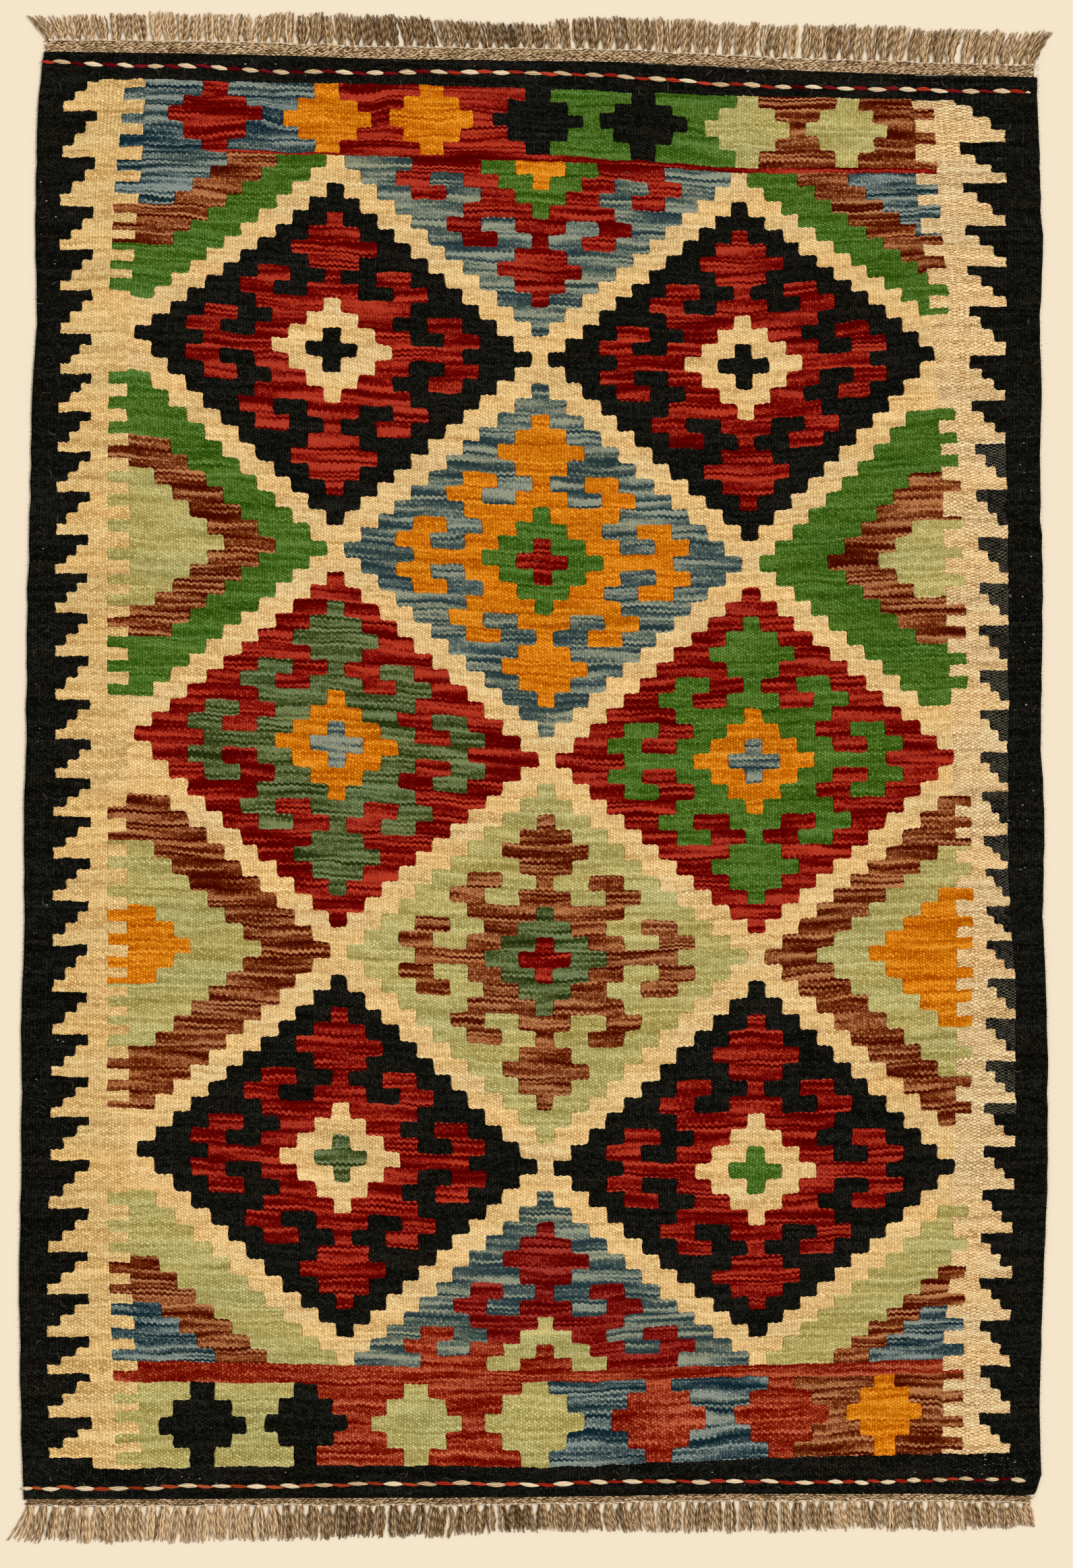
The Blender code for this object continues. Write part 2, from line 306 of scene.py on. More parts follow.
def row_of(height, side):
    """The chart row at a height along one border, side being the name of its column in LEVELS."""
    for upper, lower in zip(LEVELS, LEVELS[1:]):
        above, below = getattr(upper, side), getattr(lower, side)
        if height >= below:
            return lerp(upper.row, lower.row, clamp((above - height) / (above - below or 1.0)))
    return LEVELS[-1].row


cell_wide = (WARPS[0].at_far - WARPS[0].at_side) / (BEATS[-1] - BEATS[0])
cell_tall = (LEVELS[0].at_side - LEVELS[-1].at_side) / (BOTTOM_BAND - TOP_BAND)
print("field cell, mm", round(cell_wide, 1), "by", round(cell_tall, 1))

# %% [markdown]
# ## The teeth and the fingers
# Down each side runs a cream border whose outer side is cut into black teeth, each of four short
# rows: three steps out and one deep valley. Its inner side is a comb, where fingers of the
# field's colours reach into the cream. The heights were read tooth by tooth.

# %% Heights of the teeth and fingers
LEFT_TEETH = (
    682, 643, 596, 548, 507, 467, 424, 387, 350, 311, 271, 229, 192, 153, 110, 68, 29,
    -9, -46, -87, -129, -173, -219, -260, -301, -340, -384, -431, -472, -514, -556, -590, -635, -674,
)
RIGHT_TEETH = (
    658, 610, 573, 531, 491, 452, 401, 359, 318, 272, 224, 181, 140, 94, 58, 15, -22,
    -66, -96, -134, -167, -205, -245, -287, -328, -371, -412, -454, -499, -540, -586, -631, -668,
)
LEFT_FINGERS = (
    676, 651, 630, 605, 584, 562, 544, 528, 506, 489, 398, 374, 350, 326, 301, 278, 254, 226,
    200, 180, 159, 140, 116, 93, -2, -27, -52, -76, -103, -128, -151, -173, -193, -212, -231, -249,
    -272, -293, -315, -404, -431, -453, -473, -494, -513, -537, -558, -578, -600, -618, -640, -658,
)
RIGHT_FINGERS = (
    656, 631, 603, 582, 561, 534, 511, 484, 461, 363, 339, 318, 293, 257, 227, 200, 170, 149, 124,
    101, -16, -37, -58, -82, -107, -134, -155, -184, -206, -232, -261, -289, -316,
    -416, -448, -476, -503, -527, -552, -578, -598, -623, -643,
)
TOOTH_STEPS = (1, 2, 3, 0)     # how far out the rows of a tooth reach, in thirds
STEPS_PER_TOOTH = len(TOOTH_STEPS)
FINGER_MOST = 12.0             # the tallest finger, mm


def tooth_rows(heights, side):
    """Chart rows between the steps of the teeth."""
    rows = []
    for upper, lower in zip(heights, heights[1:]):
        for step in range(STEPS_PER_TOOTH):
            rows.append(row_of(lerp(upper, lower, step / STEPS_PER_TOOTH), side))
    return rows


def finger_rows(heights, side):
    """Chart rows where each finger starts and stops, one pair after another."""
    rows = []
    for upper, lower in zip(heights, heights[1:] + (heights[-1] - FINGER_MOST * 2,)):
        tall = min((upper - lower) / 2.0, FINGER_MOST)
        rows += [row_of(upper, side), row_of(upper - tall, side)]
    return rows


LEFT_STEPS = tooth_rows(LEFT_TEETH, "at_side")
RIGHT_STEPS = tooth_rows(RIGHT_TEETH, "at_far")
LEFT_COMB = finger_rows(LEFT_FINGERS, "at_side")
RIGHT_COMB = finger_rows(RIGHT_FINGERS, "at_far")
LEFT_REACHES = [lerp(LEFT_VALLEY, LEFT_TOOTH, step / 3) for step in TOOTH_STEPS]
RIGHT_REACHES = [lerp(RIGHT_VALLEY, RIGHT_TOOTH, step / 3) for step in TOOTH_STEPS]
print("teeth", len(LEFT_TEETH) - 1, len(RIGHT_TEETH) - 1)
print("fingers", len(LEFT_FINGERS), len(RIGHT_FINGERS))

# %% [markdown]
# ## The motifs
# One quarter of a diamond is enough for a chart, because it is the same on all four sides: x is
# the cross in the middle, o the ring round it, m the hooked motif and a dot the ground.

# %% Diamonds, side chevrons and stars
MOTIF = (
    "xxoommmm....",
    "xoomm..mm..",
    "oomm..mm..",
    "ommmm....",
    "mm..mm..",
    "m..mm..",
    "mm....",
    "mmm..",
    "mm..",
    "m..",
    "..",
    ".",
)
Diamond = namedtuple("Diamond", "column row ground motif ring cross")
DIAMONDS = (
    Diamond(column=0, row=0, ground="black", motif="red", ring="cream", cross="black"),
    Diamond(column=24, row=0, ground="black", motif="red", ring="cream", cross="black"),
    Diamond(column=12, row=13, ground="blue", motif="orange", ring="green", cross="red"),
    Diamond(column=0, row=26, ground="red", motif="bottle", ring="orange", cross="blue"),
    Diamond(column=24, row=26, ground="red", motif="green", ring="orange", cross="blue"),
    Diamond(column=12, row=39, ground="sage", motif="brown", ring="bottle", cross="red"),
    Diamond(column=0, row=52, ground="black", motif="red", ring="cream", cross="bottle"),
    Diamond(column=24, row=52, ground="black", motif="red", ring="cream", cross="green"),
    Diamond(column=12, row=-13, ground="blue", motif="red", ring="green", cross="orange"),
    Diamond(column=12, row=65, ground="blue", motif="crimson", ring="sage", cross="rust"),
)
# Half diamonds at the sides: nested chevrons, each of three wools from the inside out, each up to
# a count of steps from the middle. The weaver took the first columns together in some of them:
# above and below give the first column that counts alone, in the chevron's upper and lower half.
Part = namedtuple("Part", "dye reach above below", defaults=(1, 1))
Chevron = namedtuple("Chevron", "column row parts")
CHEVRONS = (
    Chevron(-12, -13, (Part("sea blue", 5, 1, 2), Part("brown", 8, 1, 2), Part("green", 11))),
    Chevron(36, -13, (Part("sea blue", 5), Part("brown", 8), Part("green", 11))),
    Chevron(-12, 13, (Part("sage", 5), Part("brown", 8, 2, 2), Part("green", 11))),
    Chevron(36, 13, (Part("sage", 4, 2, 2), Part("brown", 7, 2, 2), Part("green", 11, 2, 2))),
    Chevron(-12, 39, (Part("orange", 3), Part("sage", 7), Part("brown", 11, 2, 1))),
    Chevron(36, 39, (Part("orange", 5), Part("sage", 8), Part("brown", 11))),
    Chevron(-12, 65, (Part("sea blue", 4), Part("brown", 7), Part("sage", 11))),
    Chevron(36, 65, (Part("sea blue", 5, 2), Part("brown", 7), Part("sage", 11))),
)
DIAMOND_REACH = 11

# Two rows of stars, each five rows tall, and no two alike: steps gives where a star's inner rows
# start, as shares of its band. A star's ground reaches from its middle to the next one's.
Star = namedtuple("Star", "middle size dye ground steps")
TOP_STARS = (
    Star(middle=-313, size=1.06, dye="red", ground="sea blue", steps=(0.21, 0.36, 0.57, 0.83)),
    Star(middle=-203, size=1.00, dye="orange", ground="red", steps=(0.24, 0.41, 0.64, 0.81)),
    Star(middle=-101, size=0.94, dye="orange", ground="red", steps=(0.17, 0.36, 0.61, 0.81)),
    Star(middle=3, size=1.00, dye="black", ground="green", steps=(0.19, 0.38, 0.58, 0.80)),
    Star(middle=106, size=0.98, dye="black", ground="green", steps=(0.17, 0.32, 0.56, 0.74)),
    Star(middle=208, size=0.95, dye="sage", ground="brown", steps=(0.17, 0.35, 0.58, 0.76)),
    Star(middle=305, size=0.92, dye="sage", ground="brown", steps=(0.17, 0.36, 0.56, 0.76)),
)
BOTTOM_STARS = (
    Star(middle=-325, size=0.98, dye="black", ground="sage", steps=(0.21, 0.40, 0.61, 0.77)),
    Star(middle=-224, size=0.92, dye="black", ground="rust", steps=(0.17, 0.37, 0.58, 0.76)),
    Star(middle=-116, size=1.00, dye="sage", ground="rust", steps=(0.18, 0.39, 0.58, 0.79)),
    Star(middle=0, size=1.10, dye="sage", ground="sea blue", steps=(0.15, 0.37, 0.59, 0.80)),
    Star(middle=121, size=1.05, dye="rust", ground="sea blue", steps=(0.15, 0.34, 0.61, 0.82)),
    Star(middle=241, size=1.05, dye="rust", ground="brown", steps=(0.17, 0.36, 0.58, 0.81)),
    Star(middle=342, size=0.83, dye="orange", ground="brown", steps=(0.16, 0.36, 0.56, 0.76)),
)
STAR_HALVES = (12.0, 29.0, 44.0, 29.0, 12.0)   # half widths of a star's five rows, mm
STAR_ROWS = len(STAR_HALVES)
TOP_STARS_HEIGHT, BOTTOM_STARS_HEIGHT = 640, -630
TURN_FROM, TURN_OVER = 0.42, 0.16              # where the steps of one star give way to the next's
LINE_START = -8.0                              # where the thin red line starts


def star_columns(stars, height):
    """Each star with its middle and the two sides of its five rows, in chart columns."""
    made = []
    for star in stars:
        sides = []
        for half in STAR_HALVES:
            left, right = star.middle - half * star.size, star.middle + half * star.size
            sides.append((column_of(left, height), column_of(right, height)))
        made.append((star, column_of(star.middle, height), sides))
    return made


TOP_ROW = star_columns(TOP_STARS, TOP_STARS_HEIGHT)
BOTTOM_ROW = star_columns(BOTTOM_STARS, BOTTOM_STARS_HEIGHT)


def star_dye(row, first_ground, band_start, u, v):
    """The wool at a point of a star band."""
    step = min(int(max(v - band_start, 0.0)), STAR_ROWS - 1)
    ground = first_ground
    for star, middle, sides in row:
        if sides[step][0] < u < sides[step][1]:
            return star.dye
        if u > middle:
            ground = star.ground
    return ground


def star_share(row, u, place):
    """How far down its band a star's row lies, at a column: place counts rows from the band's top."""
    def share_of(star):
        shares = (0.0, *star.steps, 1.0)
        index = min(int(place), STAR_ROWS - 1)
        return lerp(shares[index], shares[index + 1], place - index)

    if u <= row[0][1]:
        return lerp(place / STAR_ROWS, share_of(row[0][0]), clamp(u - LEFT_BASE))
    for (star, middle, _), (after, middle_after, _) in zip(row, row[1:]):
        if u <= middle_after:
            turn = clamp(((u - middle) / (middle_after - middle) - TURN_FROM) / TURN_OVER)
            return lerp(share_of(star), share_of(after), turn)
    return lerp(place / STAR_ROWS, share_of(row[-1][0]), clamp(RIGHT_BASE - u))


def height_at(u, v):
    """Height on the cloth of a point of the chart."""
    if v < TOP_BAND:
        share = (v - TOP_EDGE) / (TOP_BAND - TOP_EDGE)
        return lerp(at_end(TOP_END, share_of_width(u), "edge"), across_field(LEVELS[0][1:], u), share)
    if v > BOTTOM_BAND:
        share = (v - BOTTOM_BAND) / (BOTTOM_EDGE - BOTTOM_BAND)
        return lerp(across_field(LEVELS[-1][1:], u), at_end(BOTTOM_END, share_of_width(u), "edge"), share)
    if v < TOP_LINE:
        v = lerp(TOP_BAND, TOP_LINE, star_share(TOP_ROW, u, v - TOP_BAND))
    elif v > BOTTOM_STRIP:
        v = lerp(BOTTOM_STRIP, BOTTOM_BAND, star_share(BOTTOM_ROW, u, v - BOTTOM_STRIP))
    return across_field(level_values(v), u)


def chevron_dye(chevron, column, row):
    """The wool of a side chevron's cell, or nothing outside it."""
    across, steps = abs(column - chevron.column), abs(row - chevron.row)
    for part in chevron.parts:
        first_whole = part.above if row < chevron.row else part.below
        if max(across, first_whole) + steps <= part.reach:
            return part.dye
    return None


# In the left half of the lowest diamond the crimson yarn ran out, and rust took its place: from
# this row on, and a row later past the near column.
RAN_OUT_ROW, RAN_OUT_NEAR, RAN_OUT_FAR = 63, 8, 12


def ran_out(column, row):
    """Whether a cell was woven after the crimson was gone."""
    return column < RAN_OUT_FAR and row >= RAN_OUT_ROW + (column > RAN_OUT_NEAR)


def field_dye(u, v):
    """The wool of a cell of the field."""
    column, row = math.floor(u + 0.5), math.floor(v + 0.5)
    for diamond in DIAMONDS:
        i, j = abs(column - diamond.column), abs(row - diamond.row)
        if i + j <= DIAMOND_REACH:
            mark = MOTIF[j][i]
            dye = {"x": diamond.cross, "o": diamond.ring, "m": diamond.motif}.get(mark, diamond.ground)
            return "rust" if dye == "crimson" and ran_out(column, row) else dye
    for chevron in CHEVRONS:
        dye = chevron_dye(chevron, column, row)
        if dye:
            return dye
    return "cream"


def inner_dye(u, v):
    """The wool between the two combs."""
    if v < TOP_LINE:
        return star_dye(TOP_ROW, "sea blue", TOP_BAND, u, v)
    if v < FIELD_TOP:
        return "red" if u > LINE_START else "sea blue"
    if v > BOTTOM_STRIP:
        return star_dye(BOTTOM_ROW, "sage", BOTTOM_STRIP, u, v)
    if v > FIELD_BOTTOM:
        return "rust"
    return field_dye(u, v)


def tooth_reach(steps, reaches, v):
    """How far out the cream reaches in this row of the teeth."""
    index = bisect.bisect_right(steps, v) - 1
    return reaches[index % STEPS_PER_TOOTH] if index >= 0 else reaches[-1]


def in_finger(comb, v):
    """Whether a row lies in a finger, and not between two."""
    return bisect.bisect_right(comb, v) % 2 == 1


OPEN_FROM, OPEN_TO = 5.0, 49.0         # rows between which the valleys at the right are woven openly
LAST_COLUMN = RIGHT_BASE - 0.1         # a place in the last column before the right comb


def dye_at(u, v):
    """The wool at any point of the chart."""
    if not TOP_BAND < v < BOTTOM_BAND:
        return "black"
    if u < tooth_reach(LEFT_STEPS, LEFT_REACHES, v) or u > tooth_reach(RIGHT_STEPS, RIGHT_REACHES, v):
        return "open black" if RIGHT_VALLEY < u < RIGHT_TOOTH and OPEN_FROM < v < OPEN_TO else "black"
    if u < LEFT_BASE:
        return inner_dye(LEFT_BASE, v) if u > LEFT_FINGER and in_finger(LEFT_COMB, v) else "border cream"
    if u > RIGHT_BASE:
        reached = u < RIGHT_FINGER and in_finger(RIGHT_COMB, v)
        return inner_dye(LAST_COLUMN, v) if reached else "open cream"
    return inner_dye(u, v)


# %% [markdown]
# ## From chart to mesh
# The cloth starts as one grid primitive on the chart itself, with three columns at each upright
# line: the line and the two lips of its slit. Teeth, fingers and stars don't keep to the chart's
# even rows and columns, so their strips are cut with Bisect where their own steps fall.

# %% The chart as a grid
LIP = 0.10                 # from a slit's middle to where the cloth is flat again, in cells
LIP_MOST = LIP * 1.01      # edges up to this long only cross a lip
NEAR_SIDE = (0.0, 0.05, 0.15)          # the columns that round off a side
NEAR_END = (0.0, 0.06, 0.16, 0.30)     # and the rows by an end
END_ROWS = 4
SNAP = 0.00001             # how near a cut may pass to a point without a new one
FIELD_CELLS = round(FIELD_RIGHT - FIELD_LEFT)
FIELD_ROWS = round(FIELD_BOTTOM - FIELD_TOP)


def even(low, high, count):
    """Places at even steps, with both ends."""
    return [lerp(low, high, index / count) for index in range(count + 1)]


def with_lips(lines):
    """Each line between its two lips."""
    return [line + side for line in lines for side in (-LIP, 0.0, LIP)]


LINES_ACROSS = (
    [LEFT_TOOTH, LEFT_REACHES[1], LEFT_REACHES[0], LEFT_VALLEY, LEFT_FINGER, LEFT_BASE]
    + even(FIELD_LEFT, FIELD_RIGHT, FIELD_CELLS)
    + [RIGHT_BASE, RIGHT_FINGER, RIGHT_VALLEY, RIGHT_REACHES[0], RIGHT_REACHES[1], RIGHT_TOOTH]
)
COLUMNS = (
    [LEFT_EDGE + near for near in NEAR_SIDE]
    + [(LEFT_EDGE + LEFT_TOOTH) / 2.0]
    + with_lips(LINES_ACROSS)
    + [(RIGHT_TOOTH + RIGHT_EDGE) / 2.0]
    + [RIGHT_EDGE - near for near in reversed(NEAR_SIDE)]
)
ROWS = (
    [TOP_EDGE + near for near in NEAR_END]
    + even(TOP_EDGE, TOP_BAND, END_ROWS)[1:-1]
    + even(TOP_BAND, TOP_LINE, STAR_ROWS)
    + even(FIELD_TOP, FIELD_BOTTOM, FIELD_ROWS)
    + even(BOTTOM_STRIP, BOTTOM_BAND, STAR_ROWS)
    + even(BOTTOM_BAND, BOTTOM_EDGE, END_ROWS)[1:-1]
    + [BOTTOM_EDGE - near for near in reversed(NEAR_END)]
)
bpy.ops.mesh.primitive_grid_add(x_subdivisions=len(COLUMNS) - 1, y_subdivisions=len(ROWS) - 1, size=2.0)
cloth = bpy.context.object
cloth.name = "woven_cloth"
cloth.data.name = "woven_cloth"
for vert in cloth.data.vertices:
    column = round((vert.co.x + 1.0) / 2.0 * (len(COLUMNS) - 1))
    row = round((1.0 - vert.co.y) / 2.0 * (len(ROWS) - 1))
    vert.co = (COLUMNS[column], -ROWS[row], 0.0)
print("coarse faces", len(cloth.data.polygons))


# %% Cut the strips
def cut(low, high, axis, places):
    """Bisect the faces whose middles lie between two corners of the chart, at each place."""
    normal = (1.0, 0.0, 0.0) if axis == 0 else (0.0, 1.0, 0.0)
    for place in places:
        bm = bmesh.from_edit_mesh(cloth.data)
        for face in bm.faces:
            middle = face.calc_center_median()
            face.select_set(low[0] < middle.x < high[0] and low[1] < -middle.y < high[1])
        point = (place, 0.0, 0.0) if axis == 0 else (0.0, -place, 0.0)
        bpy.ops.mesh.bisect(plane_co=point, plane_no=normal, threshold=SNAP)


bpy.ops.object.mode_set(mode="EDIT")
bpy.ops.mesh.select_mode(type="FACE")
cut((LEFT_TOOTH, TOP_BAND), (LEFT_VALLEY, BOTTOM_BAND), 1, LEFT_STEPS)
cut((RIGHT_VALLEY, TOP_BAND), (RIGHT_TOOTH, BOTTOM_BAND), 1, RIGHT_STEPS)
cut((LEFT_FINGER, TOP_BAND), (LEFT_BASE, BOTTOM_BAND), 1, LEFT_COMB)
cut((RIGHT_BASE, TOP_BAND), (RIGHT_FINGER, BOTTOM_BAND), 1, RIGHT_COMB)
for star_row, low_row, high_row in ((TOP_ROW, TOP_BAND, TOP_LINE), (BOTTOM_ROW, BOTTOM_STRIP, BOTTOM_BAND)):
    star_sides = sorted({side for _, _, sides in star_row for pair in sides[:3] for side in pair})
    cut((FIELD_LEFT, low_row), (RIGHT_BASE, high_row), 0, with_lips(star_sides))
bpy.ops.object.mode_set(mode="OBJECT")
print("cut faces", len(cloth.data.polygons))

# %% [markdown]
# ## Dyeing the faces
# Each face takes the wool of its middle, as one material slot for each dye. Faces of one dye that
# touch make a patch, and each patch was woven with yarn of its own, so it gets its own number,
# by which its streaks differ from its neighbour's.

# %% Dyes
# Each dye from its darkest shade to its lightest, as a screen shows them: the darkest are partly
# painted shade between the beads and the lightest partly painted light on their tops. Streaks is how
# much the yarn changes along its length, beads how much painted shade and light the bead profile
# puts into the colour, and close how tight it is. Behind is what shows through the holes between
# its beads, pale warp or painted shade, and peep how much of it does.
Dye = namedtuple(
    "Dye", "name darkest deep middle pale lightest streaks beads close behind peep",
    defaults=(1.0, None, 0.0),
)
# The first is pale warp that really peeps through; the second is painted shade in the open cream's holes.
PALE_WARP, HOLE_PAINTED_SHADE = (178, 166, 142), (92, 60, 22)
DYES = (
    Dye("black", (1, 1, 0), (9, 9, 6), (15, 15, 11), (23, 22, 18), (48, 45, 38), 0.14, 0.95),
    Dye("open black", (1, 1, 0), (8, 8, 5), (14, 14, 10), (23, 22, 18), (48, 45, 38), 0.14, 0.8,
        close=0.88, behind=PALE_WARP, peep=1.0),
    Dye("cream", (160, 116, 58), (212, 169, 107), (230, 187, 124), (242, 201, 137), (255, 226, 166),
        0.22, 1.0),
    Dye("border cream", (148, 104, 46), (200, 158, 95), (218, 176, 112), (232, 191, 126), (253, 222, 158),
        0.20, 1.0),
    Dye("open cream", (130, 94, 50), (206, 164, 109), (227, 186, 130), (240, 202, 146), (255, 228, 176),
        0.22, 1.1, close=0.84, behind=HOLE_PAINTED_SHADE, peep=0.85),
    Dye("red", (82, 1, 0), (106, 3, 2), (120, 8, 5), (137, 19, 11), (186, 60, 38), 0.72, 0.65),
    Dye("orange", (154, 60, 0), (194, 99, 3), (210, 116, 7), (223, 130, 13), (248, 162, 48), 0.34, 0.95),
    Dye("blue", (36, 54, 58), (64, 81, 79), (88, 101, 92), (110, 118, 103), (156, 157, 132), 0.75, 0.65),
    Dye("sea blue", (14, 36, 44), (44, 64, 67), (70, 86, 85), (96, 109, 103), (148, 154, 142), 0.75, 0.7),
    Dye("green", (26, 56, 0), (54, 87, 12), (67, 101, 24), (80, 113, 37), (110, 142, 68), 0.30, 1.05),
    Dye("bottle", (34, 44, 10), (62, 73, 30), (80, 90, 46), (95, 106, 61), (126, 136, 92), 0.75, 0.7),
    Dye("sage", (124, 108, 46), (162, 148, 80), (176, 162, 96), (190, 176, 109), (220, 206, 142), 0.27, 1.05),
    Dye("brown", (66, 7, 0), (94, 27, 4), (115, 49, 15), (142, 73, 34), (190, 128, 82), 0.68, 0.65),
    Dye("rust", (88, 1, 0), (119, 11, 1), (133, 28, 5), (150, 46, 18), (204, 104, 70), 0.38, 0.85),
    Dye("crimson", (80, 1, 1), (102, 4, 3), (117, 10, 7), (134, 23, 16), (172, 62, 48), 0.65, 0.75),
)
DYE_INDEX = {dye.name: index for index, dye in enumerate(DYES)}
DYE_SHADES = ("darkest", "deep", "middle", "pale", "lightest")
SHADE_PLACES = (0.05, 0.30, 0.50, 0.70, 0.95)      # where they lie between dark and light


def linear(colour):
    """A screen colour, 0 to 255, as the shader's linear red, green and blue."""
    shares = [value / 255.0 for value in colour]
    return (*[s / 12.92 if s <= 0.04045 else ((s + 0.055) / 1.055) ** 2.4 for s in shares], 1.0)


bm = bmesh.new()
bm.from_mesh(cloth.data)
for face in bm.faces:
    middle = face.calc_center_median()
    face.material_index = DYE_INDEX[dye_at(middle.x, -middle.y)]

patch_layer = bm.faces.layers.float.new("patch")
seen = set()
patches = 0
for start in bm.faces:
    if start in seen:
        continue
    patches += 1
    seen.add(start)
    waiting = [start]
    while waiting:
        face = waiting.pop()
        face[patch_layer] = float(patches)
        for edge in face.edges:
            for other in edge.link_faces:
                if other not in seen and other.material_index == start.material_index:
                    seen.add(other)
                    waiting.append(other)
print("patches of wool", patches)

# %% [markdown]
# ## Edges between two wools
# Seen close, a level edge is scalloped, because every other warp carries the last pick a little
# further. An upright edge bulges with the turns of the yarn, and between two such turns there
# is a slit. New points go on these edges alone, and the rest of the mesh stays light.

# %% Scallops and turns
WARPS_PER_CELL = 6
BEADS_PER_CELL = 6
SCALLOP = 0.036            # half a scallop's height, in cells
TURNS = 4                  # points on an upright edge of one cell
TURN_BULGE = 0.035         # how far one of them stands out, in cells
SLIT_AT_CORNER = 0.12      # how open a slit is at its ends
ROUND_ACROSS, ROUND_DOWN = 0.045, 0.055    # how far a step's corner is worn off, in cells
ROUND_BESIDE = 0.02        # and the points beside it
LEAST_WORN, MOST_WORN = 0.5, 1.4
LEAST_SCALLOP, MOST_SCALLOP = 0.3, 1.3
CLEAR = 0.02               # new points stay this far from the ends of their edge, in cells
STRAIGHT = 0.0001          # an edge along one axis strays less than this
unsteady = random.Random(11)


def split_edge(edge, shares):
    """Put new points on an edge at these shares of its length, and give them in order."""
    last = edge.verts[1]
    near, rest, done = edge.verts[0], edge, 0.0
    made = []
    for share in shares:
        vert = bmesh.utils.edge_split(rest, near, (share - done) / (1.0 - done))[1]
        made.append(vert)
        rest = next(link for link in vert.link_edges if last in link.verts)
        near, done = vert, share
    return made


def base_wool(face):
    """The wool of a face, whether it is woven tight or open."""
    return DYES[face.material_index].name.split()[-1]


def round_corner(vert):
    """Move a step's corner towards the one face of the four round it that has its own wool."""
    wools = [base_wool(face) for face in vert.link_faces]
    lone = [face for face, wool_name in zip(vert.link_faces, wools) if wools.count(wool_name) == 1]
    if len(wools) != 4 or len(lone) != 1 or len(set(wools)) != 2:
        return
    towards = lone[0].calc_center_median() - vert.co
    side, rise = math.copysign(1.0, towards.x), math.copysign(1.0, towards.y)
    amount = unsteady.uniform(LEAST_WORN, MOST_WORN)
    moved[vert] = Vector((side * ROUND_ACROSS * amount, rise * ROUND_DOWN * amount, 0.0))
    for edge in vert.link_edges:
        other = edge.other_vert(vert)
        step = other.co.x - vert.co.x
        if abs(step) < LIP_MOST and step * side > 0.0:
            moved[other] = Vector((0.0, rise * ROUND_BESIDE * amount, 0.0))


def wool_edges(axis):
    """Edges between two wools that run along one axis of the chart."""
    found = []
    for edge in bm.edges:
        faces = edge.link_faces
        if len(faces) == 2 and base_wool(faces[0]) != base_wool(faces[1]):
            if abs(edge.verts[0].co[1 - axis] - edge.verts[1].co[1 - axis]) < STRAIGHT:
                found.append(edge)
    return found


slit_layer = bm.verts.layers.float.new("slit")
moved = {}
for vert in bm.verts:
    round_corner(vert)
for edge in wool_edges(1):
    length = abs(edge.verts[0].co.y - edge.verts[1].co.y)
    count = max(round(TURNS * length), 1)
    ends = tuple(edge.verts)
    points = split_edge(edge, [(step + 1) / (count + 1) for step in range(count)])
    for vert in ends:
        vert[slit_layer] = SLIT_AT_CORNER
    for vert in points:
        vert.co.x += TURN_BULGE * unsteady.uniform(-1.0, 1.0)
        vert[slit_layer] = 1.0

for edge in wool_edges(0):
    start, stop = edge.verts[0].co.x, edge.verts[1].co.x
    if abs(start - stop) < LIP_MOST:
        continue
    low, high = min(start, stop), max(start, stop)
    warps = range(math.floor(low * WARPS_PER_CELL), math.ceil(high * WARPS_PER_CELL))
    places = [((warp + 0.5) / WARPS_PER_CELL, warp) for warp in warps]
    places = [(place, warp) for place, warp in places if low + CLEAR < place < high - CLEAR]
    places.sort(reverse=start > stop)
    points = split_edge(edge, [(place - start) / (stop - start) for place, _ in places])
    for vert, (_, warp) in zip(points, places):
        up_or_down = 1.0 if warp % 2 else -1.0
        vert.co.y += SCALLOP * up_or_down * unsteady.uniform(LEAST_SCALLOP, MOST_SCALLOP)
for vert, step in moved.items():
    vert.co += step
print("points with edges", len(bm.verts))

# %% [markdown]
# ## Laying the chart on the cloth
# Now every point leaves the chart for its real place. The weave's own count of warps and picks
# stays behind as a UV map, so that the threads follow the cloth however it bends. A second map
# lays out the upper side, the underside and the walls apart, for whoever bakes the wool.

# %% Place the points
CLOTH_THICKNESS = 2.4
SLIT_DIP = 0.35            # how far the cloth dips at a slit, mm
WAVER_ACROSS = 0.9         # how far an upright edge wavers, mm
WAVER_ALONG = 1.3          # how far a level edge wavers
RUMPLE = 0.30              # low unevenness of the whole cloth
RUMPLE_SIZE = 90.0         # and the length of its waves
SELVEDGE_WAVER = 0.7       # how far the sides waver
END_WAVER = 0.5            # and the ends
SELVEDGE_DROP = 0.9        # how far the rounded sides drop
CORNER_RADIUS = 5.0        # of the lower right corner, which has rounded off
NOISE_GAIN = 1.6           # makes the noise reach about -1 and 1
STRETCH = 40.0             # how much less a side's waver changes across the rug, an end's along it
places_near = functools.cache(column_places)

# What wavers is a sum of smooth noises. Salt sets one noise apart from another, and size is in cells.
Waver = namedtuple("Waver", "share salt size")
ACROSS_WAVERS = (Waver(share=1.0, salt=3.1, size=1.3), Waver(share=0.8, salt=8.7, size=0.55))
ALONG_WAVERS = (Waver(share=0.8, salt=5.3, size=3.0), Waver(share=0.7, salt=1.9, size=0.8))
SIDE_WAVERS = (Waver(share=1.0, salt=2.2, size=0.9), Waver(share=0.7, salt=6.6, size=0.3))
END_WAVERS = (Waver(share=1.0, salt=9.4, size=0.5),)
RUMPLE_WAVERS = (Waver(share=1.0, salt=4.4, size=RUMPLE_SIZE),)


def waver(u, v, salt, size):
    """A smooth uneven value from about -1 to 1."""
    return noise.noise(Vector((u / size, v / size, salt))) * NOISE_GAIN


